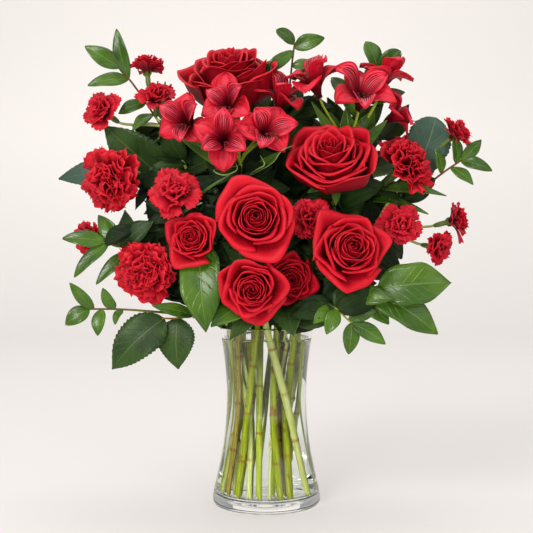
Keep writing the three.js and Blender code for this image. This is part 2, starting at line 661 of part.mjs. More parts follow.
Object.entries(carnations).forEach(([stem, carnation], k) => {
  addCarnation(`${stem}_bloom`, { ...carnation, stem }, carnationHead, 25 * k, colours.carnation);
});
Object.entries(sprayBlooms).forEach(([name, bloom], k) => {
  addCarnation(`spray_bloom_${name}`, bloom, sprayHead, 40 * k, colours.spray);
});
for (const [name, floret] of Object.entries(florets)) {
  const lengths = { depth: floret.radius, seat: floretSeat * floret.radius, calyx: 0 };
  const bloom = { ...floret, ...lengths, colour: colours.alstroemeria };
  blooms.set(`floret_${name}`, { ...bloom, solid: makeFloret(bloom) });
}

// The closed outer form round a solid, a little larger.
function hullOf(solid) {
  const mesh = solid.getMesh();
  const points = [];
  for (let k = 0; k < mesh.numVert; k += 1) {
    points.push(new THREE.Vector3().fromArray(mesh.vertProperties, k * mesh.numProp));
  }
  const centre = new THREE.Box3().setFromPoints(points).getCenter(new THREE.Vector3());
  const outwards = points.map((point) => {
    const away = point.clone().sub(centre);
    return point.clone().addScaledVector(away.normalize(), 2 * guardWidth);
  });
  return solidOf(new ConvexGeometry(outwards));
}

// Two blooms of like size that press on each other part along the flat between them, and
// a small one gives way to a large one.
const slab = new THREE.BoxGeometry(400, 400, 200).translate(0, 0, 100);

function parted(one, other) {
  const [small, large] = one.radius < other.radius ? [one, other] : [other, one];
  if (large.radius > 1.25 * small.radius) {
    small.solid = mainBody(small.solid.subtract(hullOf(large.solid)));
    return;
  }
  const a = vector(one.at);
  const b = vector(other.at);
  const apart = b.clone().sub(a);
  const distance = apart.length();
  const share = 0.5 + (one.radius ** 2 - other.radius ** 2) / (2 * distance ** 2);
  const seam = a.clone().addScaledVector(apart, share);
  const way = apart.divideScalar(distance);
  const cut = (side) => placed(
    solidOf(slab),
    seam.clone().addScaledVector(way, side * -0.5 * gap),
    way.clone().multiplyScalar(side).toArray(),
  );
  one.solid = mainBody(one.solid.subtract(cut(1)));
  other.solid = mainBody(other.solid.subtract(cut(-1)));
}

const heads = [...blooms.values()];
heads.forEach((one, k) => {
  for (const other of heads.slice(k + 1)) {
    if (overlap(one.solid, other.solid) > 0) parted(one, other);
  }
});

// Where a stem ends and the way it arrives there: at its one bloom, its fork or its twig.
function arrivalOf(name) {
  const bloom = heads.find((head) => head.stem === name);
  if (bloom && !forks[name]) return [stemEnd(bloom), vector(bloom.face).normalize()];
  const end = vector(forks[name] ?? twigs[name][0]);
  const way = end.clone().sub(vector([...stems[name].rim, vaseHeight])).normalize();
  return [end, way.setZ(way.z + 0.4).normalize()];
}

// The green of each stem: its rods and calyces, and guards slightly larger than these.
const greens = new Map();
for (const [name, stem] of Object.entries(stems)) {
  const low = vasePoints(stem, 0);
  const [end, way] = arrivalOf(name);
  const twig = (twigs[name] ?? []).slice(1).map(vector);
  const points = [...low, ...climb(low.at(-1), end, way), ...twig];
  const sides = stem.radius > 2.5 ? 5 : 4;
  const rods = [{ path: points, radius: stem.radius, sides }];
  for (const stalk of stalks[name] ?? []) {
    const [first, ...rest] = stalk.map(vector);
    rods.push({ path: [seatOn([points], first), ...rest], radius: stalkRadius, sides: 3 });
  }
  const routes = rods.map(({ path }) => path);
  const carried = heads.filter((bloom) => bloom.stem === name);
  for (const bloom of forks[name] ? carried : []) {
    const start = bloom === blooms.get(lowestSpray) ? points[low.length] : end;
    rods.push({ path: branchRoute(start, bloom), radius: branchRadius, sides: 3 });
  }
  const makeCalyx = name.startsWith('rose') ? makeRoseCalyx : makeCarnationCalyx;
  const grown = (extra) => joined([
    ...rods.map((one) => rod(one.path, one.radius, one.sides, extra)),
    ...carried.filter((bloom) => bloom.calyx).map((bloom) => makeCalyx(bloom, extra)),
  ]);
  const holePoints = [...vasePoints(stem, 1), points[low.length]];
  const hole = rod(holePoints, stem.radius + guardWidth, sides);
  greens.set(name, { core: grown(0), guard: grown(guardWidth), hole, routes, leaves: [] });
}

// Petals give way where a stem passes between them.
for (const bloom of heads) {
  for (const green of greens.values()) {
    if (overlap(bloom.solid, green.guard) === 0) continue;
    bloom.solid = mainBody(bloom.solid.subtract(green.guard));
  }
}

// Leaves give way to the blooms, the glass, the other stems and the leaves before them.
const hulls = heads.map((bloom) => hullOf(bloom.solid));
const glassHull = hullOf(makeVase());
const leafGuards = [];
for (const [name, green] of greens) {
  for (const leaf of leaves[name] ?? []) {
    const root = seatOn(green.routes, vector(leaf[0])).toArray();
    const seated = [root, ...leaf.slice(1)];
    let body = makeLeaf(seated, 0);
    const others = [...greens].filter(([other]) => other !== name).map(([, one]) => one.guard);
    const earlier = leafGuards.filter(([owner]) => owner !== name).map(([, guard]) => guard);
    for (const obstacle of [...hulls, glassHull, ...others, ...earlier]) {
      if (overlap(body, obstacle) > 0) body = body.subtract(obstacle);
    }
    if (body.isEmpty()) continue;
    green.leaves.push(body);
    leafGuards.push([name, makeLeaf(seated, guardWidth)]);
  }
}

// ------------------------------------------------------------------------ the group

function meshOf(name, solid, colour, roughness) {
  const { vertProperties, triVerts, numProp } = solid.getMesh();
  const box = solid.boundingBox();
  const anchor = new THREE.Vector3().fromArray(box.min);
  const places = new Float32Array(3 * (vertProperties.length / numProp));
  for (let k = 0; k < places.length / 3; k += 1) {
    for (let axis = 0; axis < 3; axis += 1) {
      places[3 * k + axis] = vertProperties[k * numProp + axis] - anchor.getComponent(axis);
    }
  }
  const geometry = new THREE.BufferGeometry();
  geometry.setAttribute('position', new THREE.BufferAttribute(places, 3));
  geometry.setIndex(new THREE.BufferAttribute(triVerts, 1));
  geometry.computeVertexNormals();
  const material = new THREE.MeshStandardMaterial({ color: colour, roughness, metalness: 0 });
  const mesh = new THREE.Mesh(geometry, material);
  mesh.name = name;
  mesh.position.copy(anchor);
  return mesh;
}

const bunch = new THREE.Group();
bunch.add(meshOf('vase', makeVase(), colours.glass, 0.05));
const water = makeWater([...greens.values()].map((green) => green.hole));
bunch.add(meshOf('water', water, colours.water, 0.02));
for (const [name, green] of greens) {
  const whole = mainBody(joined([green.core, ...green.leaves]));
  const kind = name.split('_')[0];
  const ending = kind === 'greens' ? '' : '_stem';
  bunch.add(meshOf(`${name}${ending}`, whole, stemColours[kind], 0.55));
}
for (const [name, bloom] of blooms) bunch.add(meshOf(name, bloom.solid, bloom.colour, 0.6));

export default bunch;
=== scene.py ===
"""A mixed bunch of roses, carnations and alstroemeria in a waisted glass vase of water.

Metres, Z up. The origin is the middle of the vase's underside and -Y is the side that the
bunch faces. Tables of places are in millimetres, as on the maker's drawing.
"""
import math

import bpy
import numpy as np
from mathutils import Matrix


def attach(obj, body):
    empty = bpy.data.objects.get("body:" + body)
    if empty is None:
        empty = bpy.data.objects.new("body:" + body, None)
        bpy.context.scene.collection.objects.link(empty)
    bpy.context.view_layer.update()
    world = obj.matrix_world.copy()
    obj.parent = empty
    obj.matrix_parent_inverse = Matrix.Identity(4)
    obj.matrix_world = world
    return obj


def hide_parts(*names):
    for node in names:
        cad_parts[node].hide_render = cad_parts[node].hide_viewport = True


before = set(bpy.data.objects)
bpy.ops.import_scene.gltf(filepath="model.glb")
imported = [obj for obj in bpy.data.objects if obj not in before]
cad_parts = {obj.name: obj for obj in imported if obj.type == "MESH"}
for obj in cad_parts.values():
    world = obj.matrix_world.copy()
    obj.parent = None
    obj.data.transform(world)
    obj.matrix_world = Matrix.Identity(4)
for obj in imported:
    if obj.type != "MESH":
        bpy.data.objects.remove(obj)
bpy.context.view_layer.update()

# ------------------------------------------------------------------ the view and the light
# A long lens stands a little above the middle of the bunch and looks slightly down. Six
# soft lamps light it from the upper left, the right, the front and above, on a pale sweep.

scene = bpy.context.scene
scene.view_settings.view_transform = "Standard"


def put_out(name, data):
    """A new object in the scene from its mesh, lamp or camera."""
    obj = bpy.data.objects.new(name, data)
    scene.collection.objects.link(obj)
    return obj


lens = bpy.data.cameras.new("camera")
lens.lens = 84.4
lens.sensor_width = 36
lens.clip_end = 20
looks_down = 2.77
scene.camera = put_out("camera", lens)
scene.camera.location = (0, -1.25, 0.3)
scene.camera.rotation_euler = (math.radians(90 - looks_down), 0, 0)


def lamp(name, place, target, size, power, mirrored=True):
    """A square area lamp at a place, turned to a target: tilted by the angle of the way to
    it from straight down, and turned round Z by its angle on the ground. One that is not
    mirrored leaves no bright square in the glass."""
    data = bpy.data.lights.new(name, "AREA")
    data.size = size
    data.energy = power
    data.color = (1.0, 0.98, 0.96)
    obj = put_out(name, data)
    way = np.subtract(target, place)
    tilt = math.atan2(math.hypot(way[0], way[1]), -way[2])
    obj.rotation_euler = (tilt, 0, math.atan2(way[1], way[0]) - math.pi / 2)
    obj.location = place
    obj.visible_glossy = obj.visible_transmission = mirrored


# Each lamp: its place and target, the length of its side in metres and its power in watts.
lamp("key", (-0.9, -1.4, 1.4), (0, 0, 0.27), 0.75, 25)
lamp("fill", (1.3, -1.5, 0.8), (0, 0, 0.25), 0.9, 4)
lamp("low", (-0.5, -1.6, 0.22), (0, 0, 0.16), 0.25, 13, mirrored=False)
lamp("low_right", (0.7, -1.4, 0.2), (0, 0, 0.15), 0.25, 7.5, mirrored=False)
lamp("top", (0.1, 0.2, 1.9), (0, 0, 0.2), 0.7, 5)
lamp("wall", (0, 0.9, 2.3), (0, 2.5, 0.9), 2.6, 22)


def plug(tree, value, socket):
    """Gives a socket another node's output, or a value; a colour is three numbers."""
    if isinstance(value, bpy.types.NodeSocket):
        tree.links.new(value, socket)
    else:
        socket.default_value = (*value, 1) if socket.type == "RGBA" else value


def put(tree, kind, sockets=None, **settings):
    """A shader node with its settings and with what its sockets are given."""
    node = tree.nodes.new("ShaderNode" + kind)
    for key, value in settings.items():
        setattr(node, key, value)
    for key, value in (sockets or {}).items():
        plug(tree, value, node.inputs[key])
    return node


def blend(tree, share, one, other):
    """A colour between two others, the nearer to the second the larger the share."""
    return put(tree, "Mix", {0: share, 6: one, 7: other}, data_type="RGBA").outputs[2]


finishes = {}


def finish_of(name, **values):
    """Makes a material with these values on its Principled shader and keeps it by name;
    gives its nodes and the shader."""
    finishes[name] = material = bpy.data.materials.new(name)
    material.use_nodes = True
    tree = material.node_tree
    shader = tree.nodes["Principled BSDF"]
    for key, value in values.items():
        plug(tree, value, shader.inputs[key.replace("_", " ")])
    return tree, shader


def mesh_piece(name, verts, faces, materials, uv=None, flat=None, marks=None, slots=None):
    """An object at the origin from arrays: corners, four-sided faces, a place on the
    pattern for each corner, which faces are flat, and numbers that the finishes read."""
    mesh = bpy.data.meshes.new(name)
    mesh.vertices.add(len(verts))
    mesh.vertices.foreach_set("co", np.asarray(verts, dtype=np.float32).ravel())
    mesh.loops.add(faces.size)
    mesh.loops.foreach_set("vertex_index", faces.ravel().astype(np.int32))
    mesh.polygons.add(len(faces))
    mesh.polygons.foreach_set("loop_start", np.arange(0, faces.size, 4, dtype=np.int32))
    smooth = np.ones(len(faces), bool) if flat is None else ~flat
    mesh.polygons.foreach_set("use_smooth", smooth)
    if slots is not None:
        mesh.polygons.foreach_set("material_index", slots.astype(np.int32))
    if uv is not None:
        layer = mesh.uv_layers.new(name="pattern")
        layer.data.foreach_set("uv", uv[faces.ravel()].astype(np.float32).ravel())
    for key, numbers in (marks or {}).items():
        mark = mesh.attributes.new(key, "FLOAT", "POINT")
        mark.data.foreach_set("value", np.asarray(numbers, dtype=np.float32).ravel())
    mesh.update()
    mesh.validate()
    for material in materials:
        mesh.materials.append(finishes[material])
    return put_out(name, mesh)


# The room: dim near the ground, which draws the glass's edges, and bright above.
scene.world = bpy.data.worlds.new("sky")
scene.world.use_nodes = True
room = scene.world.node_tree
lift = put(room, "SeparateXYZ", {0: put(room, "TexCoord").outputs["Generated"]}).outputs["Z"]
brightness = put(room, "MapRange", {"Value": lift, "From Min": 0.02, "From Max": 0.5,
                                    "To Min": 0.12, "To Max": 0.75}).outputs[0]
plug(room, brightness, room.nodes["Background"].inputs["Strength"])
plug(room, (1.0, 0.985, 0.97), room.nodes["Background"].inputs["Color"])

# The sweep: a floor that curves up into a wall behind the bunch, in warm white with painted light:
# it glows a little though it is no lamp, and it is painted darker on the floor and lighter up the
# wall to even out the light that falls on each.
# From the side it is a straight line, a quarter of a circle and another straight line.
bend_start, bend_radius = 1.6, 0.9
bend = np.linspace(0, np.pi / 2, 24)
curve = np.stack([bend_start + bend_radius * np.sin(bend),
                  bend_radius - bend_radius * np.cos(bend)], -1)
run = np.concatenate([[[-2.5, 0]], curve, [[2.5, 4.0]]])
across = np.linspace(-1.15, 1.15, 3)
sweep = np.stack(np.broadcast_arrays(across[:, None], run[:, 0], run[:, 1]), -1)
grid = np.arange(sweep[..., 0].size).reshape(sweep.shape[:2])
cells = np.stack([grid[:-1, :-1], grid[1:, :-1], grid[1:, 1:], grid[:-1, 1:]], -1)
# Painted light: the paper glows a little, though it is no lamp.
tree, shader = finish_of("paper", Roughness=0.75, Specular_IOR_Level=0.2,
                         Emission_Color=(1.0, 0.965, 0.94), Emission_Strength=0.25)
lift = put(tree, "SeparateXYZ", {0: put(tree, "TexCoord").outputs["Object"]}).outputs["Z"]
lift = put(tree, "MapRange", {"Value": lift, "From Max": 0.5}).outputs[0]
# Painted light: darker on the floor, which takes more light, and lighter up the wall, where less
# falls.
paper_tone_painted_light = blend(tree, lift, (0.48, 0.46, 0.447), (0.66, 0.63, 0.61))
plug(tree, paper_tone_painted_light, shader.inputs["Base Color"])
floor = mesh_piece("floor", sweep.reshape(-1, 3), cells.reshape(-1, 4), ["paper"])


# ---------------------------------------------------------------------------- the vase
# A gathering vase in clear colourless glass, blown in a mould: a wide foot with a thick
# floor, a narrow waist and a rim that flares and is fire polished.

MM = 0.001
WALL = 2.6        # thickness of the glass
FLOOR_TOP = 15    # below this height the inside is the dish of the floor
# Height and outer radius of the wall.
outline = [(8, 54.3), (20, 52), (42, 47), (66, 42.7), (95, 40.2), (122, 40.2), (145, 42),
           (163, 44.4), (181, 47.5)]


def smooth_line(points, steps):
    """A smooth curve through points: between two of them it leaves each one along the line
    that joins its neighbours, by a cubic with those slopes."""
    points = np.asarray(points, dtype=float)
    slope = np.empty_like(points)
    slope[1:-1] = (points[2:] - points[:-2]) / 2
    slope[0] = points[1] - points[0]
    slope[-1] = points[-1] - points[-2]
    place = np.linspace(0, len(points) - 1, steps)
    k = np.minimum(place.astype(int), len(points) - 2)
    s = (place - k)[:, None]
    a, b, da, db = points[k], points[k + 1], slope[k], slope[k + 1]
    return ((2 * s**3 - 3 * s**2 + 1) * a + (s**3 - 2 * s**2 + s) * da
            + (3 * s**2 - 2 * s**3) * b + (s**3 - s**2) * db)


def band(index):
    """The four-sided faces between rings of corners, each ring joined to the next."""
    step = np.roll(index, -1, axis=1)
    return np.stack([index[:-1], step[:-1], step[1:], index[1:]], -1).reshape(-1, 4)


def turned_piece(name, profile, material):
    """A closed solid turned about Z from (radius, height) points that start and end on it:
    each point goes round a circle, and fans of three-sided faces close it at its poles."""
    sides = 96
    ring = np.linspace(0, 2 * np.pi, sides, endpoint=False)
    radius, height = profile[1:-1, :1], profile[1:-1, 1:]
    wall = np.stack(np.broadcast_arrays(radius * np.cos(ring), radius * np.sin(ring), height), -1)
    poles = [[0, 0, profile[0, 1]], [0, 0, profile[-1, 1]]]
    index = np.arange(len(radius) * sides).reshape(-1, sides)
    step = np.roll(index, -1, axis=1)
    low = np.stack([np.full(sides, index.size), step[0], index[0]], -1)
    high = np.stack([np.full(sides, index.size + 1), index[-1], step[-1]], -1)
    mesh = bpy.data.meshes.new(name)
    mesh.from_pydata(wall.reshape(-1, 3).tolist() + poles, [],
                     band(index).tolist() + low.tolist() + high.tolist())
    mesh.polygons.foreach_set("use_smooth", np.ones(len(mesh.polygons), bool))
    mesh.materials.append(finishes[material])
    return put_out(name, mesh)


def noise(tree, space, scale, detail, stretch=None):
    """Soft noise over the "UV" pattern or in "Object" space; a stretch makes it streaks."""
    place = put(tree, "TexCoord").outputs[space]
    if stretch:
        place = put(tree, "Mapping", {"Vector": place, "Scale": stretch}).outputs[0]
    return put(tree, "TexNoise", {"Vector": place, "Scale": scale, "Detail": detail}).outputs["Fac"]


def emboss(tree, shader, height, strength, distance=0.001):
    """A bump that follows this height, in front of the shader's normal."""
    bump = put(tree, "Bump", {"Height": height, "Strength": strength, "Distance": distance})
    plug(tree, bump.outputs["Normal"], shader.inputs["Normal"])


# The wall, a lip that rounds its top like half an oval, and a floor with pressed rings.
wall_out = smooth_line(outline, steps=60)
half_turn = np.linspace(0, np.pi, 9)[1:-1]
lip_middle = wall_out[-1, 1] - WALL / 2
lip = np.stack([lip_middle + WALL / 2 * np.cos(half_turn), 180.2 + 1.1 * np.sin(half_turn)], -1)
wall_in = wall_out[::-1] - [0, WALL]
wall_in = wall_in[wall_in[:, 0] > FLOOR_TOP]
heel = [[49.6, 0.3], [52.2, 1.4], [53.6, 3.6], [54.2, 6.0]]
ring_radius = np.linspace(42, 4, 48)
ring_height = 9.2 + (ring_radius / 42)**2 + 0.3 * np.sin(0.9 * ring_radius)
vase_profile = np.concatenate([
    [[0, 1.2], [30, 1.0], [44, 0.4], [47, 0.0]], heel, wall_out[1:, ::-1], lip,
    wall_in[1:, ::-1], [[48.6, 13.6], [46.2, 11.4]], np.stack([ring_radius, ring_height], -1),
    [[0, 9.1]],
]) * MM
tree, shader = finish_of("clear_glass", Base_Color=(0.965, 0.978, 0.968), Roughness=0.0,
                         IOR=1.5, Transmission_Weight=1.0, Specular_Tint=(0.4, 0.4, 0.4))
swirl = noise(tree, "Object", scale=26.0, detail=1.0)
emboss(tree, shader, swirl, strength=0.06, distance=0.002)
vase = turned_piece("vase_glass", vase_profile, "clear_glass")
vase.visible_shadow = False
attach(vase, "root")
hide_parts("vase")

# --------------------------------------------------------------------------- the water
# Fresh water to just under the rim. It wets the glass, and creeps up it in a thin edge.

WATER_TOP = 168.0
# It reaches 0.15 mm into the glass, so that no air shows between them.
dry = WALL - 0.15
inside = wall_out[(wall_out[:, 0] > FLOOR_TOP) & (wall_out[:, 0] < WATER_TOP)] - [0, dry]
edge = np.interp(WATER_TOP, wall_out[:, 0], wall_out[:, 1]) - dry
water_profile = np.concatenate([
    [[0, 8.6], [14, 8.7], [30, 9.1], [42.0, 9.7], [46.3, 11.2], [48.7, 13.5]], inside[:, ::-1],
    [[edge, WATER_TOP + 1.0], [edge - 0.8, WATER_TOP + 0.4], [edge - 2.5, WATER_TOP],
     [0, WATER_TOP]],
]) * MM
tree, shader = finish_of("still_water", Base_Color=(0.97, 0.99, 0.975), Roughness=0.0,
                         IOR=1.333, Transmission_Weight=1.0, Specular_Tint=(0.15, 0.15, 0.15))
ripple = noise(tree, "Object", scale=18.0, detail=2.0)
emboss(tree, shader, ripple, strength=0.05, distance=0.002)
water = turned_piece("water_body", water_profile, "still_water")
water.visible_shadow = False
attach(water, "root")
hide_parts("water")

# --------------------------------------------------------------------------- the stems
# Cut stems stand on the vase's floor, pass each other in the waist and fan out. Rose
# stems are olive with thorns, carnations pale with swollen joints, and all end in a cut.

# Where each stem passes the vase's rim, waist and floor, x y at each, and its radius.
RIM_Z, WAIST_Z, FLOOR_Z = 181, 98, 14
stems = {
    "rose_centre": ((-9, -31), (-17.2, -25.3), (-26.8, -31.9), 2.8),
    "rose_low_centre": ((0, -39), (20.4, -24.3), (36.5, -18.4), 3.0),
    "rose_low_right": ((10, -25), (5.9, -22.9), (12.7, -40), 2.6),
    "rose_right": ((27, -28), (16.5, -11.5), (21.1, -33.7), 3.0),
    "rose_left": ((-27, -27), (-25.2, -15.7), (-35.2, -22.8), 2.6),
    "rose_upper_right": ((17, -6), (8, -4), (16, -22), 3.0),
    "rose_top_left": ((-12, 6), (-12, 3), (-22, -4), 3.0),
    "carnation_left": ((-32, -6), (-22.3, -4.1), (-37.6, -7.4), 2.2),
    "carnation_low_left": ((-37, -14), (-15.4, -10), (-16.1, -39.3), 2.2),
    "carnation_right": ((28, 6), (15.7, 8.8), (9.2, -4.1), 2.2),
    "spray_left": ((-23, 4), (-19.7, 6.1), (-27.7, -15.9), 1.9),
    "spray_mid_left": ((-25, -14), (-11.6, -5.5), (-13, -26), 1.7),
    "spray_right": ((32, -6), (23.3, 2.2), (12.8, 10.1), 2.0),
    "spray_centre": ((20, -17), (6.2, -14.9), (2.5, -39.3), 1.7),
    "alstroemeria_left": ((-5, -11), (-6, -14), (-7, -39), 2.4),
    "alstroemeria_right": ((14, 4), (8, 8), (4, -16), 2.4),
    "greens_top_left": ((-25, 12), (-25, 12), (-38, 12), 1.7),
    "greens_left": ((-39, -6), (-30.9, 3), (-43.2, 2), 1.6),
    "greens_low_left": ((-33, -22), (-28.8, -10.6), (-41.6, -11.6), 1.6),
    "greens_right": ((34, 12), (28, 13), (40, 16), 1.7),
    "greens_low_right": ((33, -19), (29, -8), (43, -4), 1.6),
    "greens_top": ((4, 8), (0, 8), (-7, -6), 1.7),
    "greens_top_right": ((20, 14), (13, 17), (4, 20), 1.7),
    "greens_back_left": ((-15, 25), (-14, 24), (-24, 26), 1.9),
    "greens_back": ((4, 32), (-2, 28), (-10, 36), 1.9),
    "greens_back_right": ((22, 27), (10, 26), (6, 36), 1.9),
}
# Where a stem forks to carry several blooms.
forks = {
    "spray_left": (-92, 8, 372), "spray_right": (103, -14, 268),
    "alstroemeria_left": (-26, -14, 342), "alstroemeria_right": (82, 4, 352),
}
# How each stem of greenery goes on from where it leaves the bunch, to its tip.
twigs = {
    "greens_top_left": [(-75, 24, 330), (-122, 14, 405), (-146, 8, 438)],
    "greens_left": [(-105, -22, 232), (-132, -40, 256), (-156, -46, 266)],
    "greens_low_left": [(-70, -32, 193), (-134, -35, 199), (-172, -38, 200)],
    "greens_right": [(120, 26, 285), (170, 6, 328), (195, 2, 346)],
    "greens_low_right": [(52, -42, 198), (62, -68, 205), (80, -76, 190)],
    "greens_top": [(15, 12, 330), (24, 14, 427), (28, 12, 462)],
    "greens_top_right": [(75, 34, 350), (104, 12, 415), (113, 9, 439)],
    "greens_back_left": [(-60, 62, 290), (-84, 66, 345), (-100, 58, 385)],
    "greens_back": [(8, 74, 290), (2, 82, 350), (-4, 70, 400)],
    "greens_back_right": [(72, 60, 290), (98, 62, 335), (118, 52, 370)],
}
# Side stems that bear leaves: from near the main one to the tip.
stalks = {
    "rose_left": [(-36, -37, 198), (-58, -50, 197), (-84, -60, 193), (-100, -62, 193)],
    "rose_right": [(45, -37, 208), (70, -50, 214), (96, -60, 220), (112, -62, 221)],
    "greens_top_left": [(-75, 24, 330), (-92, 22, 328), (-104, 14, 326)],
    "rose_top_left": [(-24, 12, 325), (-14, 22, 350), (4, 26, 372)],
}
# Each bloom: the middle of its opening, the way it faces, its radius, and for a rose its
# depth and the turn of its first outer petal, for a floret its turn.
roses = {
    "rose_centre": ((-10, -113, 292), (0, -0.97, 0.2), 40, 36, -68),
    "rose_low_centre": ((-14, -110, 222), (-0.08, -0.98, -0.1), 37, 33, -73),
    "rose_right": ((82, -98, 265), (0.2, -0.93, 0.25), 43, 38, -90),
    "rose_left": ((-73, -92, 272), (-0.25, -0.93, 0.15), 30, 28, -110),
    "rose_low_right": ((25, -68, 229), (0.15, -0.97, -0.05), 29, 26, -60),
    "rose_upper_right": ((61, -58, 352), (-0.12, -0.7, 0.7), 45, 38, -20),
    "rose_top_left": ((-38, 0, 436), (-0.17, -0.42, 0.9), 51, 42, -165),
}
carnations = {
    "carnation_left": ((-158, -42, 322), (-0.5, -0.8, -0.2), 36),
    "carnation_low_left": ((-118, -70, 237), (-0.25, -0.95, -0.05), 33),
    "carnation_right": ((148, -15, 348), (0.6, -0.5, 0.5), 33),
}
sprays = {
    "top": ("spray_left", (-121, 15, 447), (-0.1, 0.2, 0.95), 20),
    "far_left": ("spray_left", (-167, -5, 398), (-0.45, -0.7, 0.35), 23),
    "upper_left": ("spray_left", (-108, -8, 415), (0.1, -0.6, 0.75), 22),
    "low_left": ("spray_left", (-186, 18, 266), (-0.6, -0.65, -0.1), 23),
    "mid_left": ("spray_mid_left", (-85, -84, 317), (0, -0.85, 0.45), 27),
    "upper_right": ("spray_right", (197, 5, 378), (0.7, -0.2, 0.6), 20),
    "far_right": ("spray_right", (198, 5, 288), (0.93, -0.2, 0.25), 21),
    "low_right": ("spray_right", (175, -25, 258), (0.6, -0.7, -0.1), 21),
    "right": ("spray_right", (131, -52, 283), (0.1, -0.95, 0.2), 23),
    "centre": ("spray_centre", (40, -68, 290), (0, -0.95, 0.2), 22),
}
florets = {
    "left": ("alstroemeria_left", (-80, -46, 383), (-0.35, -0.85, 0.3), 27, 90),
    "mid_left": ("alstroemeria_left", (-41, -68, 364), (-0.05, -0.95, 0.15), 27, 30),
    "middle": ("alstroemeria_left", (1, -58, 374), (0.25, -0.85, 0.4), 29, 60),
    "upper_left": ("alstroemeria_left", (-38, -50, 398), (-0.2, -0.9, 0.4), 22, 90),
    "upper_middle": ("alstroemeria_left", (15, -12, 408), (0.3, -0.3, 0.8), 25, 20),
    "top": ("alstroemeria_right", (47, -14, 424), (-0.3, -0.2, 0.9), 24, 60),
    "upper_right": ("alstroemeria_right", (93, -28, 410), (0.1, -0.65, 0.7), 28, 90),
    "top_right": ("alstroemeria_right", (117, 6, 428), (0.25, 0.1, 0.9), 23, 0),
    "right": ("alstroemeria_right", (132, 2, 390), (0.8, -0.2, 0.4), 20, 40),
}


def unit(way):
    """The same way with length 1: divided by the root of the sum of its squares."""
    way = np.asarray(way, dtype=float)
    return way / np.linalg.norm(way)


def behind(at, face, distance):
    """The place this far behind another, straight against the way it faces."""
    return np.asarray(at, dtype=float) - unit(face) * distance


def climb(start, end, arrival, count):
    """From the rim in one easy bend: a cubic that leaves between straight up and straight
    at its end, and arrives along the given way."""
    start, end = np.asarray(start, dtype=float), np.asarray(end, dtype=float)
    length = np.linalg.norm(end - start)
    leaving = unit(unit(end - start) + [0, 0, 1])
    one, two = start + 0.35 * length * leaving, end - 0.3 * length * unit(arrival)
    s = np.linspace(0, 1, count)[1:, None]
    return (1 - s)**3 * start + 3 * s * (1 - s)**2 * one + 3 * s**2 * (1 - s) * two + s**3 * end


def length_along(path):
    """At each point of a path, the sum of the straight steps that lead to it."""
    return np.concatenate([[0], np.cumsum(np.linalg.norm(np.diff(path, axis=0), axis=1))])


def tube(path, radius, sides, cut=0.0):
    """A closed round tube along a path. Each ring is a circle square to the path, by the
    cosine along one cross way and the sine along the other. A cut slants the first ring."""
    path = np.asarray(path, dtype=float)
    radius = np.broadcast_to(np.asarray(radius, dtype=float), len(path))
    ways = np.gradient(path, axis=0)
    ways /= np.linalg.norm(ways, axis=1, keepdims=True)
    side = np.cross(ways, [0.31, 0.95, 0.07])
    side /= np.linalg.norm(side, axis=1, keepdims=True)
    up = np.cross(ways, side)
    ring = np.linspace(0, 2 * np.pi, sides, endpoint=False)
    c, s = np.cos(ring)[:, None], np.sin(ring)[:, None]
    verts = path[:, None] + radius[:, None, None] * (c * side[:, None] + s * up[:, None])
    verts[0] += cut * radius[0] * c * ways[0]
    index = np.arange(verts[..., 0].size).reshape(len(path), sides)
    k = np.arange(sides // 2 - 1)
    strips = np.stack([k, -k - 1, -k - 2, k + 1], -1)
    wall = band(index)
    faces = np.concatenate([wall, index[0][strips], index[-1][strips[:, [0, 3, 2, 1]]]])
    uv = np.broadcast_arrays(ring / (2 * np.pi), length_along(path)[:, None] / 100)
    return (verts.reshape(-1, 3), faces, np.stack(uv, -1).reshape(-1, 2),
            np.arange(len(faces)) >= len(wall))


class Heap:
    """Gathers the meshes of one piece, with the marks that each part has unless it is
    given others: numbers at its corners that its finish reads."""

    def __init__(self, **usual):
        """Starts empty."""
        self.usual, self.parts, self.names, self.total = usual, [], [], 0

    def add(self, mesh, finish, **marks):
        """Adds a mesh in a named finish; its corners are counted on from those before."""
        verts, faces, uv, flat = mesh
        if finish not in self.names:
            self.names.append(finish)
        numbers = [np.broadcast_to(value, len(verts)) for value in {**self.usual, **marks}.values()]
        slot = np.full(len(faces), self.names.index(finish))
        self.parts.append((verts, faces + self.total, uv, flat, slot, *numbers))
        self.total += len(verts)

    def piece(self, name):
        """Joins the parts end to end, in metres."""
        verts, faces, uv, flat, slots, *numbers = map(np.concatenate, zip(*self.parts))
        return mesh_piece(name, verts * MM, faces, self.names, uv, flat,
                          dict(zip(self.usual, numbers)), slots)


def shade_group(name, inputs):
    """An empty node group that gives a colour and a height. The inputs given as triples
    are colours and the others numbers."""
    group = bpy.data.node_groups.new(name, "ShaderNodeTree")
    for key, value in inputs.items():
        colour = isinstance(value, tuple)
        kind = "NodeSocketColor" if colour else "NodeSocketFloat"
        socket = group.interface.new_socket(name=key, in_out="INPUT", socket_type=kind)
        socket.default_value = (*value, 1) if colour else value
    for key, kind in (("Colour", "NodeSocketColor"), ("Height", "NodeSocketFloat")):
        group.interface.new_socket(name=key, in_out="OUTPUT", socket_type=kind)
    nodes = group.nodes
    return group, nodes.new("NodeGroupInput").outputs, nodes.new("NodeGroupOutput").inputs


def sums(tree, operation, one, other=0.0, third=0.0):
    """One step of arithmetic on values that change over the surface."""
    return put(tree, "Math", {0: one, 1: other, 2: third}, operation=operation).outputs[0]


def times(tree, first, *others):
    """The product of values."""
    for other in others:
        first = sums(tree, "MULTIPLY", first, other)
    return first


def rest(tree, value):
    """What is left of one when a value is taken away."""
    return sums(tree, "SUBTRACT", 1.0, value)


def ramp(tree, value, low, high):
    """A smooth rise from 0 to 1 as a value goes from low to high."""
    return put(tree, "MapRange", {"Value": value, "From Min": low, "From Max": high},
               interpolation_type="SMOOTHSTEP").outputs[0]


def marked(tree, name):
    """The number that the mesh carries under this name."""
    return put(tree, "Attribute", attribute_name=name).outputs["Fac"]


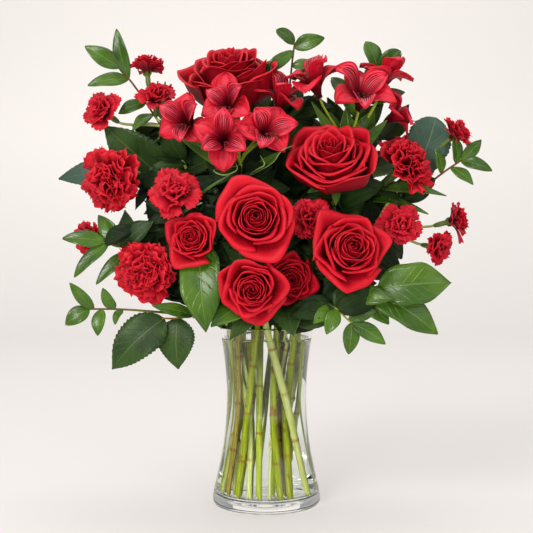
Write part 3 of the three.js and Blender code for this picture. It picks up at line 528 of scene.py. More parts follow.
def coat(tree, shader, group, values, strength):
    """Puts a colour group in front of a shader, and its height in front of a bump."""
    node = tree.nodes.new("ShaderNodeGroup")
    node.node_tree = group
    for key, value in values.items():
        plug(tree, value, node.inputs[key])
    plug(tree, node.outputs["Colour"], shader.inputs["Base Color"])
    emboss(tree, shader, node.outputs["Height"], strength)


# Bark and skin: long streaks along the stem, blotches, and darker joints where marked.
skin, given, out = shade_group("stem_skin", {
    "Light": (0.3, 0.4, 0.1), "Dark": (0.1, 0.2, 0.04), "Scar": (0.25, 0.09, 0.03), "Scars": 0.3})
streak = noise(skin, "UV", scale=3.0, detail=3.0, stretch=(9.0, 1.2, 1.0))
blotch = ramp(skin, noise(skin, "Object", scale=70.0, detail=2.0), 0.62, 0.7)
tone = blend(skin, ramp(skin, streak, 0.32, 0.68), given["Dark"], given["Light"])
scarred = sums(skin, "MAXIMUM", times(skin, blotch, given["Scars"]), marked(skin, "joint"))
plug(skin, blend(skin, scarred, tone, given["Scar"]), out["Colour"])
plug(skin, sums(skin, "ADD", streak, scarred), out["Height"])

# Each kind: its light and dark streaks, its blotches, and how far they show.
for kind, light, dark, scar, scars in (
        ("rose", (0.27, 0.31, 0.012), (0.12, 0.16, 0.004), (0.16, 0.05, 0.01), 0.7),
        ("carnation", (0.46, 0.49, 0.19), (0.31, 0.36, 0.08), (0.24, 0.11, 0.02), 0.1),
        ("alstroemeria", (0.34, 0.40, 0.04), (0.18, 0.24, 0.01), (0.2, 0.08, 0.015), 0.4),
        ("greens", (0.30, 0.34, 0.03), (0.16, 0.20, 0.01), (0.09, 0.02, 0.015), 0.3),
        ("woody", (0.26, 0.23, 0.035), (0.15, 0.10, 0.015), (0.14, 0.035, 0.01), 0.6),
        ("calyx", (0.14, 0.18, 0.05), (0.06, 0.09, 0.02), (0.09, 0.06, 0.02), 0.4)):
    tree, shader = finish_of(kind + "_stem_skin", Roughness=0.42, Specular_IOR_Level=0.15,
                             Subsurface_Weight=0.08, Subsurface_Radius=(0.002, 0.003, 0.001))
    coat(tree, shader, skin, {"Light": light, "Dark": dark, "Scar": scar, "Scars": scars},
         strength=0.35)
finishes["spray_stem_skin"] = finishes["carnation_stem_skin"]
finish_of("cut_pith", Base_Color=(0.62, 0.58, 0.36), Roughness=0.7)

# -------------------------------------------------------------------------- the leaves
# Rose leaves are broad, toothed and dull; the twigs carry small glossy pointed leaves; carnations
# and alstroemeria have narrow pale ones. Leaves of the dark kind, near black, are painted shade
# deep in the bunch and at its back. Each springs from its stem.

# The golden angle, and a fifth of a full turn.
GOLDEN = math.pi * (3 - math.sqrt(5))
FIFTH = 1.2566


def closed_sheets(grids, thickness):
    """Closed thin sheets from middle surfaces, one for each first index: both faces lie
    half the thickness along the normal from the middle, and four walls join their edges.
    Gives the mesh, and at each corner whether it lies on the under face."""
    grids = np.asarray(grids, dtype=float)
    normal = np.cross(np.gradient(grids, axis=1), np.gradient(grids, axis=2))
    normal /= np.linalg.norm(normal, axis=-1, keepdims=True) + 1e-12
    verts = np.stack([grids + normal * thickness / 2, grids - normal * thickness / 2], 1)
    index = np.arange(verts[..., 0].size).reshape(verts.shape[:-1])
    f, b = index[:, 0], index[:, 1]
    faces = np.concatenate([np.stack(corners, -1).reshape(-1, 4) for corners in (
        (f[:, :-1, :-1], f[:, 1:, :-1], f[:, 1:, 1:], f[:, :-1, 1:]),
        (b[:, :-1, :-1], b[:, :-1, 1:], b[:, 1:, 1:], b[:, 1:, :-1]),
        (f[:, 0, :-1], f[:, 0, 1:], b[:, 0, 1:], b[:, 0, :-1]),
        (f[:, -1, 1:], f[:, -1, :-1], b[:, -1, :-1], b[:, -1, 1:]),
        (f[:, 1:, 0], f[:, :-1, 0], b[:, :-1, 0], b[:, 1:, 0]),
        (f[:, :-1, -1], f[:, 1:, -1], b[:, 1:, -1], b[:, :-1, -1]))])
    count, across, along = grids.shape[:3]
    flat = np.arange(len(faces)) >= 2 * count * (across - 1) * (along - 1)
    u, v = np.meshgrid(np.linspace(0, 1, across), np.linspace(0, 1, along), indexing="ij")
    uv = np.broadcast_to(np.stack([u, v], -1), verts.shape[:-1] + (2,)).reshape(-1, 2)
    under = np.broadcast_to(np.array([0.0, 1.0])[None, :, None, None], index.shape).ravel()
    return (verts.reshape(-1, 3), faces, uv, flat), under


def leaf_width(share, kind):
    """Half the width of a leaf along its rib, as a share of its greatest half width: a
    raised sine, whose powers set the widest place and how blunt the ends are. Toothed
    leaves lose a little along each tooth."""
    if kind in ("rose", "grey", "dark"):
        body = np.sin(np.pi * share**0.74)**0.78 * np.sqrt(np.maximum(1 - share**9, 0))
        return body * (1 - 0.09 * ((share * 16) % 1) * (share > 0.04) * (share < 0.97))
    if kind == "lobed":
        return (np.sin(np.pi * share**0.84)**0.66 * (1 - 0.05 * np.cos(share * 14))
                * np.sqrt(np.maximum(1 - share**9, 0)))
    if kind == "round":
        return np.sin(np.pi * share**2.5)**0.58 * (1 - 0.08 * ((share * 26) % 1) * (share > 0.3))
    widest, blunt = {"lance": (0.85, 0.9), "pale": (0.85, 0.9), "oval": (1.05, 0.58),
                     "twig": (0.86, 0.82)}[kind]
    return np.sin(np.pi * share**widest)**blunt


def leaf_mesh(root, tip, width, kind, fold=0.16, arch=0.1, twist=0.0, coarse=False):
    """A leaf as a sheet: its rib arches over the straight line to the tip, its halves fold
    up from the rib like a shallow V and wave a little, and its outline tapers to both ends.
    It faces outwards and up, and more to the front unless it grows at the back."""
    root, tip = np.asarray(root, dtype=float), np.asarray(tip, dtype=float)
    axis = tip - root
    length = np.linalg.norm(axis)
    at_back = (root[1] + tip[1]) / 2 > 40
    outward = unit([root[0] + tip[0], root[1] + tip[1], 1e-6])
    if not at_back:
        outward = unit(0.45 * outward + [0, -1, 0])
    outward[2] = 0.6 if at_back else 0.35
    side = unit(np.cross(axis, outward))
    lift = unit(np.cross(side, axis))
    toothed = kind in ("rose", "grey", "round")
    share = np.linspace(0, 1, 9 if coarse else 65 if toothed else 17)
    u = np.linspace(-1, 1, 5 if coarse else 9 if width > 20 else 7)[:, None]
    half = 0.5 * width * leaf_width(share, kind) + 0.25
    turn = twist * share
    across = u * half
    phase = (root[0] + tip[2]) * 0.37
    rise = fold * np.abs(across) + 0.05 * width * np.sin(9 * share + phase + 2 * u) * u**2
    rib = root + axis * share[:, None] + lift * (arch * length * np.sin(np.pi * share))[:, None]
    grid = (rib + side * (across * np.cos(turn) - rise * np.sin(turn))[..., None]
            + lift * (across * np.sin(turn) + rise * np.cos(turn))[..., None])
    return closed_sheets(grid[None], thickness=0.55)


def pattern(tree):
    """Where a point lies on its sheet: X across from edge to edge, Y from foot to tip."""
    return put(tree, "SeparateXYZ", {0: put(tree, "TexCoord").outputs["UV"]}).outputs


def from_half(tree, value):
    """How far a value lies from one half."""
    return sums(tree, "ABSOLUTE", sums(tree, "SUBTRACT", value, 0.5))


# A leaf's face: darker between its side veins, paler along its rib and below.
blade, given, out = shade_group("leaf_face", {
    "Upper": (0.03, 0.09, 0.02), "Deep": (0.01, 0.04, 0.01), "Below": (0.12, 0.2, 0.08),
    "Vein": (0.2, 0.3, 0.08), "Vein Share": 0.5, "Veins": 9.0})
split = pattern(blade)
off_rib = from_half(blade, split["X"])
swept = sums(blade, "SUBTRACT", split["Y"], times(blade, off_rib, 0.55))
rung = from_half(blade, sums(blade, "FRACT", times(blade, swept, given["Veins"])))
side_vein = rest(blade, ramp(blade, rung, 0.0, 0.09))
mid_vein = rest(blade, ramp(blade, off_rib, 0.012, 0.03))
cloud = noise(blade, "Object", scale=34.0, detail=3.0)
upper = blend(blade, ramp(blade, cloud, 0.35, 0.68), given["Deep"], given["Upper"])
body = blend(blade, marked(blade, "under"), upper, given["Below"])
lines = sums(blade, "MAXIMUM", mid_vein, times(blade, side_vein, 0.45))
veined = blend(blade, times(blade, lines, given["Vein Share"]), body, given["Vein"])
plug(blade, veined, out["Colour"])
plug(blade, sums(blade, "SUBTRACT", times(blade, cloud, 0.3), lines), out["Height"])

# Each kind: its tones, how far its veins show, how many there are, and its roughness.
for kind, upper, deep, below, vein, share, veins, rough in (
        ("rose", (0.026, 0.056, 0.010), (0.011, 0.029, 0.006), (0.10, 0.16, 0.06),
         (0.075, 0.11, 0.03), 0.55, 9.0, 0.42),
        ("grey", (0.05, 0.09, 0.062), (0.03, 0.06, 0.042), (0.16, 0.22, 0.15),
         (0.1, 0.15, 0.09), 0.5, 9.0, 0.5),
        ("twig", (0.050, 0.118, 0.006), (0.021, 0.058, 0.004), (0.12, 0.2, 0.05),
         (0.14, 0.22, 0.03), 0.6, 7.0, 0.27),
        ("lobed", (0.054, 0.115, 0.005), (0.026, 0.07, 0.004), (0.13, 0.19, 0.05),
         (0.12, 0.2, 0.03), 0.5, 8.0, 0.28),
        ("lance", (0.07, 0.12, 0.015), (0.03, 0.07, 0.008), (0.16, 0.22, 0.06),
         (0.2, 0.3, 0.1), 0.3, 3.0, 0.4),
        ("pale", (0.25, 0.34, 0.16), (0.14, 0.23, 0.09), (0.28, 0.36, 0.2),
         (0.35, 0.42, 0.22), 0.3, 2.0, 0.5),
        # The dark kind is near black: painted shade for leaves deep in the bunch and at its back.
        ("dark", (0.010, 0.026, 0.003), (0.003, 0.010, 0.002), (0.02, 0.036, 0.006),
         (0.035, 0.06, 0.015), 0.4, 8.0, 0.6)):
    tree, shader = finish_of(
        kind + "_leaf", Roughness=rough, Subsurface_Weight=0.04,
        Subsurface_Radius=(0.001, 0.002, 0.0005),
        Specular_IOR_Level=0.42 if kind in ("twig", "lobed") else 0.22)
    coat(tree, shader, blade, {"Upper": upper, "Deep": deep, "Below": below, "Vein": vein,
                               "Vein Share": share, "Veins": veins}, strength=0.5)
finishes["round_leaf"], finishes["oval_leaf"] = finishes["grey_leaf"], finishes["twig_leaf"]

# Leaves of each stem: where it grows from, its tip, its greatest width and its kind. Those of the
# dark kind are painted shade.
leaves = {
    "greens_top_left": [
        ((-146, 8, 438), (-181, 4, 459), 18, "twig"),
        ((-138, 10, 427), (-150, 10, 477), 15, "twig"),
        ((-138, 10, 427), (-178, 2, 420), 16, "twig"),
        ((-122, 14, 405), (-148, 6, 392), 15, "twig"),
        ((-115, 16, 393), (-134, 2, 374), 15, "twig"),
        ((-100, 15, 326), (-163, 2, 381), 46, "rose"),
    ],
    "greens_left": [
        ((-156, -46, 266), (-196, -50, 269), 17, "twig"),
        ((-152, -45, 263), (-184, -56, 232), 15, "twig"),
        ((-132, -40, 256), (-163, -56, 225), 14, "twig"),
        ((-140, -42, 260), (-164, -30, 291), 18, "twig"),
        ((-128, -38, 253), (-140, -14, 296), 22, "rose"),
    ],
    "greens_low_left": [
        ((-167, -38, 200), (-190, -46, 226), 12, "twig"),
        ((-172, -38, 200), (-195, -42, 185), 18, "twig"),
        ((-148, -36, 199), (-158, -46, 221), 13, "twig"),
        ((-160, -38, 200), (-163, -48, 175), 14, "twig"),
        ((-141, -36, 199), (-146, -50, 186), 10, "twig"),
    ],
    "greens_right": [
        ((190, 3, 342), (186, -4, 370), 13, "twig"), ((195, 2, 346), (214, 0, 366), 13, "twig"),
        ((194, 2, 345), (224, -6, 335), 14, "twig"), ((184, 4, 338), (205, -8, 321), 13, "twig"),
        ((176, 5, 332), (168, -2, 357), 12, "twig"),
        ((126, 20, 296), (171, 16, 389), 47, "round"),
    ],
    "greens_low_right": [
        ((62, -68, 205), (44, -80, 190), 13, "twig"),
        ((66, -70, 202), (56, -84, 180), 15, "twig"),
        ((80, -76, 190), (77, -82, 161), 16, "twig"),
        ((80, -76, 190), (112, -78, 170), 16, "twig"),
        ((77, -75, 192), (104, -70, 201), 12, "twig"),
    ],
    "greens_top": [
        ((28, 12, 462), (10, 8, 476), 14, "oval"), ((28, 12, 458), (58, 10, 468), 17, "twig"),
        ((27, 12, 456), (-2, 4, 433), 13, "oval"), ((25, 13, 440), (50, 14, 440), 13, "twig"),
        ((21, 14, 400), (-6, 22, 430), 16, "twig"), ((18, 13, 360), (48, 10, 412), 30, "rose"),
    ],
    "greens_top_right": [
        ((80, 32, 356), (62, 24, 410), 26, "rose"), ((70, 34, 340), (40, 20, 393), 28, "rose"),
        ((88, 26, 375), (118, 16, 403), 24, "rose"), ((111, 9, 435), (99, 6, 464), 19, "oval"),
        ((113, 9, 439), (134, 8, 455), 17, "oval"), ((94, 20, 390), (66, 22, 430), 22, "oval"),
        ((106, 11, 420), (77, 6, 435), 15, "twig"), ((100, 15, 405), (140, 22, 415), 16, "twig"),
    ],
    "greens_back_left": [
        ((-40, 52, 245), (-92, 66, 262), 40, "dark"),
        ((-60, 62, 290), (-18, 86, 318), 34, "rose"),
        ((-66, 63, 305), (-132, 66, 322), 38, "dark"),
        ((-84, 66, 345), (-44, 76, 384), 30, "rose"),
        ((-90, 63, 360), (-140, 50, 384), 28, "dark"),
        ((-100, 58, 385), (-104, 44, 428), 26, "rose"),
    ],
    "greens_back": [
        ((8, 58, 240), (44, 84, 252), 36, "dark"), ((8, 74, 290), (-26, 92, 285), 34, "rose"),
        ((5, 78, 320), (46, 92, 340), 36, "dark"), ((2, 82, 350), (-30, 92, 370), 28, "rose"),
        ((-2, 74, 385), (40, 76, 408), 26, "dark"), ((-4, 70, 400), (-12, 54, 444), 26, "rose"),
    ],
    "greens_back_right": [
        ((50, 50, 245), (96, 62, 246), 38, "dark"), ((72, 60, 290), (140, 52, 296), 38, "rose"),
        ((86, 61, 312), (66, 76, 350), 28, "dark"), ((98, 62, 335), (150, 46, 350), 30, "rose"),
        ((118, 52, 370), (146, 38, 404), 26, "dark"),
    ],
    "rose_left": [
        ((-98, -62, 193), (-147, -66, 145), 44, "rose"),
        ((-84, -60, 193), (-84, -66, 145), 38, "rose"),
        ((-70, -55, 195), (-108, -74, 206), 13, "twig"),
        ((-66, -74, 236), (-56, -92, 183), 40, "lobed"),
    ],
    "rose_low_centre": [
        ((-8, -62, 207), (-52, -88, 188), 28, "lobed"),
        ((-7, -58, 203), (-34, -90, 175), 24, "rose"),
    ],
    "rose_low_right": [((16, -32, 208), (26, -84, 178), 37, "rose")],
    "rose_right": [
        ((104, -62, 220), (176, -62, 227), 42, "lobed"),
        ((98, -61, 220), (163, -64, 178), 34, "lobed"),
        ((84, -56, 217), (116, -68, 188), 24, "lobed"),
        ((72, -51, 214), (120, -78, 212), 20, "lobed"),
    ],
    "rose_top_left": [
        ((2, 26, 370), (44, 18, 404), 30, "dark"), ((-12, 22, 352), (-34, 34, 388), 26, "dark"),
        ((-8, 22, 356), (34, 8, 362), 26, "dark"),
    ],
    "rose_upper_right": [((45, -15, 270), (86, 28, 300), 28, "dark")],
    "carnation_left": [
        ((-126, -8, 312), (-208, 4, 327), 34, "grey"),
        ((-70, -5, 245), (-96, 18, 288), 7, "pale"),
    ],
    "carnation_low_left": [((-74, -26, 205), (-108, -6, 214), 7, "pale")],
    "carnation_right": [
        ((112, 4, 310), (176, -24, 310), 13, "lance"),
        ((104, 5, 300), (158, -28, 292), 11, "twig"), ((96, 6, 290), (124, 30, 330), 7, "pale"),
    ],
    "spray_mid_left": [
        ((-78, -48, 285), (-34, -66, 330), 3, "lance"),
        ((-76, -46, 280), (-60, -88, 303), 4, "pale"),
    ],
    "spray_left": [((-60, 6, 300), (-84, 22, 340), 7, "pale")],
    "spray_right": [((80, -10, 245), (112, 12, 300), 7, "pale")],
    "alstroemeria_left": [
        ((-22, -13, 328), (-104, -20, 386), 15, "lance"),
        ((-20, -13, 320), (12, -34, 352), 13, "lance"),
        ((-24, -14, 335), (-52, 16, 372), 13, "lance"),
    ],
    "alstroemeria_right": [
        ((66, 8, 340), (50, 6, 404), 24, "twig"), ((78, 4, 345), (79, 8, 398), 22, "twig"),
        ((84, 6, 350), (108, 6, 396), 22, "twig"), ((72, 4, 335), (44, -22, 402), 13, "lance"),
        ((80, 4, 348), (118, -20, 384), 13, "lance"),
        ((78, 4, 345), (112, -24, 330), 14, "lance"),
    ],
}

# Thin curling leaves: the stem each springs from and the points its curl runs through.
tendrils = {
    "alstroemeria_left": [
        [(-34, -30, 338), (-50, -62, 334), (-40, -74, 329), (-28, -68, 334), (-30, -60, 343)],
        [(-24, -20, 326), (-10, -62, 334), (-2, -70, 339), (-6, -62, 348)],
        [(-24, -20, 326), (4, -52, 340), (14, -60, 352), (26, -52, 358)],
    ],
    "rose_left": [
        [(-60, -66, 240), (-52, -82, 243), (-42, -86, 234), (-46, -82, 222)],
        [(-60, -60, 236), (-64, -84, 236), (-56, -90, 228), (-52, -84, 220)],
    ],
}

# The blooms that each stem carries, with how deep each one is from its opening to its seat,
# and a ball in each that the small leaves keep clear of.
bloom_seats = {}
for name, (at, face, radius, depth, turn) in roses.items():
    bloom_seats[name] = [(at, face, radius, depth, "rose")]
for name, (at, face, radius) in carnations.items():
    bloom_seats[name] = [(at, face, radius, 0.75 * radius, "carnation")]
for name, at, face, radius in sprays.values():
    bloom_seats.setdefault(name, []).append((at, face, radius, 0.75 * radius, "carnation"))
for name, at, face, radius, turn in florets.values():
    bloom_seats.setdefault(name, []).append((at, face, radius, 0.8 * radius, "floret"))
heads = np.array([(*behind(at, face, 0.45 * seat), 0.9 * radius)
                  for group in bloom_seats.values() for at, face, radius, seat, sort in group])


def stem_end(at, face, radius, seat, sort):
    """Where a stem ends: behind the bloom, 2 mm inside its hip or tube, whose lengths are
    11 mm for a rose and three quarters of the radius for a carnation."""
    return behind(at, face, seat + {"rose": 9.0, "carnation": 0.75 * radius - 2.0,
                                    "floret": 0.4}[sort])


def nearest(routes, place):
    """The point of some stems with the shortest straight way to a place."""
    points = np.concatenate(routes)
    return points[np.argmin(np.linalg.norm(points - np.asarray(place, dtype=float), axis=1))]


def grow_leaf(heap, root, tip, width, kind, **form):
    """Adds a leaf in the finish of its kind."""
    mesh, under = leaf_mesh(root, tip, width, kind, **form)
    heap.add(mesh, kind + "_leaf", under=under)


def collar(heap, at, face, radius, seat, sort):
    """The green under a bloom. A rose has a round hip and five sepals folded back under
    its petals; a carnation a long tube and a frill of five teeth, a fifth of a turn apart."""
    if sort == "floret":
        return
    way = unit(face)
    base = behind(at, face, seat)
    side = unit(np.cross([0.1, 0.2, 1.0], way))
    up = np.cross(way, side)
    if sort == "rose":
        hip = base - way * np.array([11, 9.6, 7, 4, 1.6, 0.4])[:, None]
        heap.add(tube(hip, [2.4, 3.3, 4.2, 4.6, 4.0, 3.0], sides=14), "rose_stem_skin")
    else:
        share = np.array([0, 0.12, 0.4, 0.75, 1.0])
        path = base - way * (0.75 * radius * (1 - share) + 0.3)[:, None]
        width = np.array([0.05, 0.1, 0.13, 0.125, 0.135]) * radius
        heap.add(tube(path, width, sides=12), "calyx_stem_skin")
    for k in range(5):
        turn = k * FIFTH + (GOLDEN if sort == "rose" else 0)
        out_way = math.cos(turn) * side + math.sin(turn) * up
        if sort == "rose":
            grow_leaf(heap, base - 1.5 * way + 2 * out_way,
                      base + 0.62 * radius * out_way - (3 + 2 * (k % 3)) * way,
                      0.2 * radius, "lance", fold=0.1)
        else:
            grow_leaf(heap, base + 0.12 * radius * out_way - 0.12 * radius * way,
                      base + 0.2 * radius * out_way + 0.16 * radius * way,
                      0.14 * radius, "lance", fold=0.1, arch=0.0)


# The roses whose stems are browner or paler than the others.
bark_like = {"rose_left": "woody", "rose_upper_right": "woody", "rose_low_centre": "carnation"}
dice = np.random.default_rng(11)
for name, (rim, waist, foot, radius) in stems.items():
    kind = name.split("_")[0]
    bark = bark_like.get(name, kind) + "_stem_skin"
    carried = bloom_seats.get(name, [])
    # The way up: over the vase's floor, waist and rim, then out to the bloom or the fork.
    low = smooth_line([(*foot, FLOOR_Z), (*waist, WAIST_Z), (*rim, RIM_Z)], steps=15)
    if name in forks or name in twigs:
        end = np.array(forks[name] if name in forks else twigs[name][0], dtype=float)
        way = unit(unit(end - low[-1]) + [0, 0, 0.4])
    else:
        end, way = stem_end(*carried[0]), unit(carried[0][1])
    upper = climb(low[-1], end, way, count=14)
    path = np.concatenate([low, upper])
    if name in twigs:
        beyond = smooth_line(np.concatenate([path[-2:], twigs[name][1:]]), steps=16)
        path = np.concatenate([path[:-1], beyond])
    path = smooth_line(path, steps=150)
    # The main stem tapers, and swells at its joints. Below the rim it is as thick as it
    # looks in the water.
    length = length_along(path)
    taper = np.interp(length, [0, 180, length[-1]], [1.0, 1.0, 0.55 if name in twigs else 0.8])
    joint = np.clip((length - 210) / 120, 0, 0.9) if name in twigs else np.zeros(len(path))
    if kind != "greens":
        knees = np.arange(30 + dice.uniform(0, 30), length[-1], 48) + dice.uniform(-12, 12)
        swell = np.exp(-((length[:, None] - knees) / 2.6)**2).sum(1)
        joint = np.exp(-((length[:, None] - knees - 1) / 1.2)**2).sum(1) * 0.9
        taper = taper * (1 + (0.35 if kind in ("carnation", "spray") else 0.12) * swell)
    in_water = {"greens": 0.7, "spray": 0.95}.get(kind, 1.2)
    thickness = radius * taper * np.interp(path[:, 2], [160, 200], [in_water, 1.0])
    slant = dice.uniform(0.8, 1.6)
    heap = Heap(under=0, joint=0)
    sides = 12
    joint = np.repeat(np.clip(joint, 0, 1), sides)
    heap.add(tube(path, thickness, sides, cut=slant), bark, joint=joint)
    # The pale pith shows as a disc on the slanted cut.
    pith = 0.84
    heart = path[0] + np.array([[-0.35], [0.4]]) * unit(path[1] - path[0])
    heap.add(tube(heart, pith * thickness[0], sides, cut=slant / pith), "cut_pith")
    # The side stems: those that bear leaves, and those from a fork to each bloom. One to a
    # bloom far below the fork leaves the stem lower down.
    routes = [path]
    if name in stalks:
        start = nearest(routes, stalks[name][0])
        route = smooth_line([start, *stalks[name][1:]], steps=20)
        heap.add(tube(route, np.linspace(1.3, 0.8, len(route)), sides=8), bark, joint=0.6)
        routes.append(route)
    for at, face, size, seat, sort in carried if name in forks else []:
        start = upper[4] if at[2] < end[2] - 100 else end
        route = climb(start, stem_end(at, face, size, seat, sort), unit(face), count=16)
        route = np.concatenate([[start], route])
        heap.add(tube(route, np.linspace(1.6, 1.3, len(route)), sides=8), bark)
    for bloom in carried:
        collar(heap, *bloom)
    # Thorns: short cones that bend down at the tip.
    thorns = np.arange(30, length[-1] - 30, 17) + dice.uniform(-5, 5) if kind == "rose" else []
    for place in thorns:
        k = int(np.argmin(np.abs(length - place)))
        turn = dice.uniform(0, 6.28)
        out_way = unit([math.cos(turn), math.sin(turn), -0.15])
        thorn = path[k] + out_way * np.array([0.6, 1.2, 2.2, 3.0])[:, None] * radius * 0.62
        thorn[:, 2] -= np.array([0, 0, 0.5, 1.4])
        heap.add(tube(thorn, [1.5, 1.0, 0.45, 0.08], sides=6), bark, joint=1)
    for root, tip, width, leaf_kind in leaves.get(name, []):
        grow_leaf(heap, nearest(routes, root), tip, width, leaf_kind, twist=dice.uniform(-0.3, 0.3))
    for curl in tendrils.get(name, []):
        line = smooth_line([nearest(routes, curl[0]), *curl], steps=28)
        slender = np.interp(np.linspace(0, 1, len(line)), [0, 0.7, 1], [0.5, 0.65, 0.3])
        heap.add(tube(line, slender, sides=6), "lance_leaf", under=1)
    # Small leaves close the depth of the bunch, wherever one is clear of every bloom and stays
    # within the bunch's oval; three in four are of the near-black dark kind, painted shade in the
    # depth.
    above = path[(path[:, 2] > 200) & (path[:, 2] < 400)]
    for k in range(60 if len(above) > 4 else 0):
        root = above[int(dice.integers(len(above)))]
        turn = dice.uniform(0, 2 * np.pi)
        way = unit([math.cos(turn), 0.35 * math.sin(turn), dice.uniform(-0.6, 0.9)])
        reach = dice.uniform(28, 52)
        tip = root + way * reach
        spots = root + way * reach * np.array([0.4, 0.7, 1.0])[:, None]
        gaps = np.linalg.norm(spots[:, None] - heads[:, :3], axis=2) - heads[:, 3]
        off_middle = math.hypot(tip[0] / 158, (tip[2] - 300) / 130)
        if gaps.min() >= 2 and off_middle <= 1 and -75 < tip[1] < 85:
            grow_leaf(heap, root, tip, reach * dice.uniform(0.4, 0.6),
                      "rose" if k % 4 == 3 else "dark", twist=dice.uniform(-0.5, 0.5), coarse=True)
    piece = heap.piece("green_of_" + name)
    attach(piece, "root")
    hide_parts(name if kind == "greens" else name + "_stem")

# ------------------------------------------------------------------------- the petals
# Every head sits on its collar. Petals are thin curved sheets that start together at the
# foot and open one outside the other, each a golden angle round from the last.


def set_in_place(mesh, at, face, seat):
    """Moves a mesh from a head's own frame, z along the way it faces and y upwards, to the
    bunch's."""
    w = unit(face)
    u = unit(np.cross([0, 0, 1], w))
    return behind(at, face, seat) + mesh[0] @ np.stack([u, np.cross(w, u), w]), *mesh[1:]


def curve_of(four, share):
    """A cubic through two ends drawn towards two handles; all may change with the petal."""
    a, b, c, d = four
    return ((1 - share)**3 * a + 3 * share * (1 - share)**2 * b
            + 3 * share**2 * (1 - share) * c + share**3 * d)


def for_each(numbers, corners):
    """One number for each petal, given to all its corners."""
    return np.repeat(numbers, len(corners) // len(numbers))


petal, given, out = shade_group("petal_tone", {
    "Deep": (0.1, 0.002, 0.005), "Lit": (0.6, 0.01, 0.025), "Lip Highlight": (0.75, 0.03, 0.05),
    "Start": 0.2, "End": 0.85, "Edge Share": 0.3})
split = pattern(petal)
vein = noise(petal, "UV", scale=1.0, detail=3.0, stretch=(26.0, 2.2, 1.0))
height = times(petal, sums(petal, "SUBTRACT", vein, 0.5), 0.3)
height = sums(petal, "ADD", split["Y"], height)
# Painted shade: darker towards the foot, where the petals close over each other.
lit = ramp(petal, height, given["Start"], given["End"])
# Painted shade: the face of a rose petal marked back is painted half in shade.
shade = rest(petal, times(petal, marked(petal, "back"), 0.5))
lit = times(petal, lit, marked(petal, "age"), shade)
shown = blend(petal, lit, given["Deep"], given["Lit"])
# A painted highlight: part of the way to a paler colour along the lip.
edge = times(petal, ramp(petal, split["Y"], 0.9, 1.0), given["Edge Share"])
plug(petal, blend(petal, edge, shown, given["Lip Highlight"]), out["Colour"])
plug(petal, vein, out["Height"])


def petal_finish(name, deep, lit, edge, lip_highlight_share, start, end, bump, sheen):
    """A petal's finish: its colour goes from deep to lit between two shares of its length, start
    and end, painted shade towards the foot, and part of the way to another at its edge, a painted
    highlight along the lip."""
    tree, shader = finish_of(
        name, Roughness=0.55, Specular_IOR_Level=0.25, Subsurface_Weight=0.07,
        Subsurface_Radius=(0.003, 0.0006, 0.0006), Sheen_Weight=sheen, Sheen_Roughness=0.35,
        Sheen_Tint=(1.0, 0.25, 0.3))
    coat(tree, shader, petal, {"Deep": deep, "Lit": lit, "Lip Highlight": edge, "Start": start,
                               "End": end, "Edge Share": lip_highlight_share}, bump)


petal_finish("rose_velvet", (0.09, 0.001, 0.005), (0.46, 0.0035, 0.013), (0.54, 0.008, 0.022),
             lip_highlight_share=0.25, start=0.12, end=0.85, bump=0.35, sheen=0.0)
# The outer petals' points as seen from the front: degrees round the rose, share of its radius.
points = {
    "rose_centre": [
        (-67, 1.1), (120, 1.1), (198, 0.98), (14, 1.02), (62, 1.0), (-28, 0.98), (150, 0.96),
    ],
    "rose_low_centre": [
        (-78, 1.04), (158, 1.04), (3, 1.04), (203, 1.02), (121, 1.08), (-110, 1.0), (50, 0.95),
    ],
    "rose_right": [(-98, 1.04), (8, 1.0), (128, 1.14), (192, 0.98), (58, 1.0), (-40, 0.95)],
    "rose_left": [(-118, 1.1), (153, 1.08), (36, 1.06), (72, 1.0), (-31, 1.0), (205, 0.92)],
    "rose_low_right": [(-18, 1.05), (85, 1.0), (-105, 1.0), (38, 0.95), (160, 0.95)],
    "rose_upper_right": [(-34, 1.1), (128, 1.06), (-160, 1.04), (40, 1.0), (-95, 1.0)],
    "rose_top_left": [(186, 1.1), (8, 1.0), (-88, 1.04)],
}


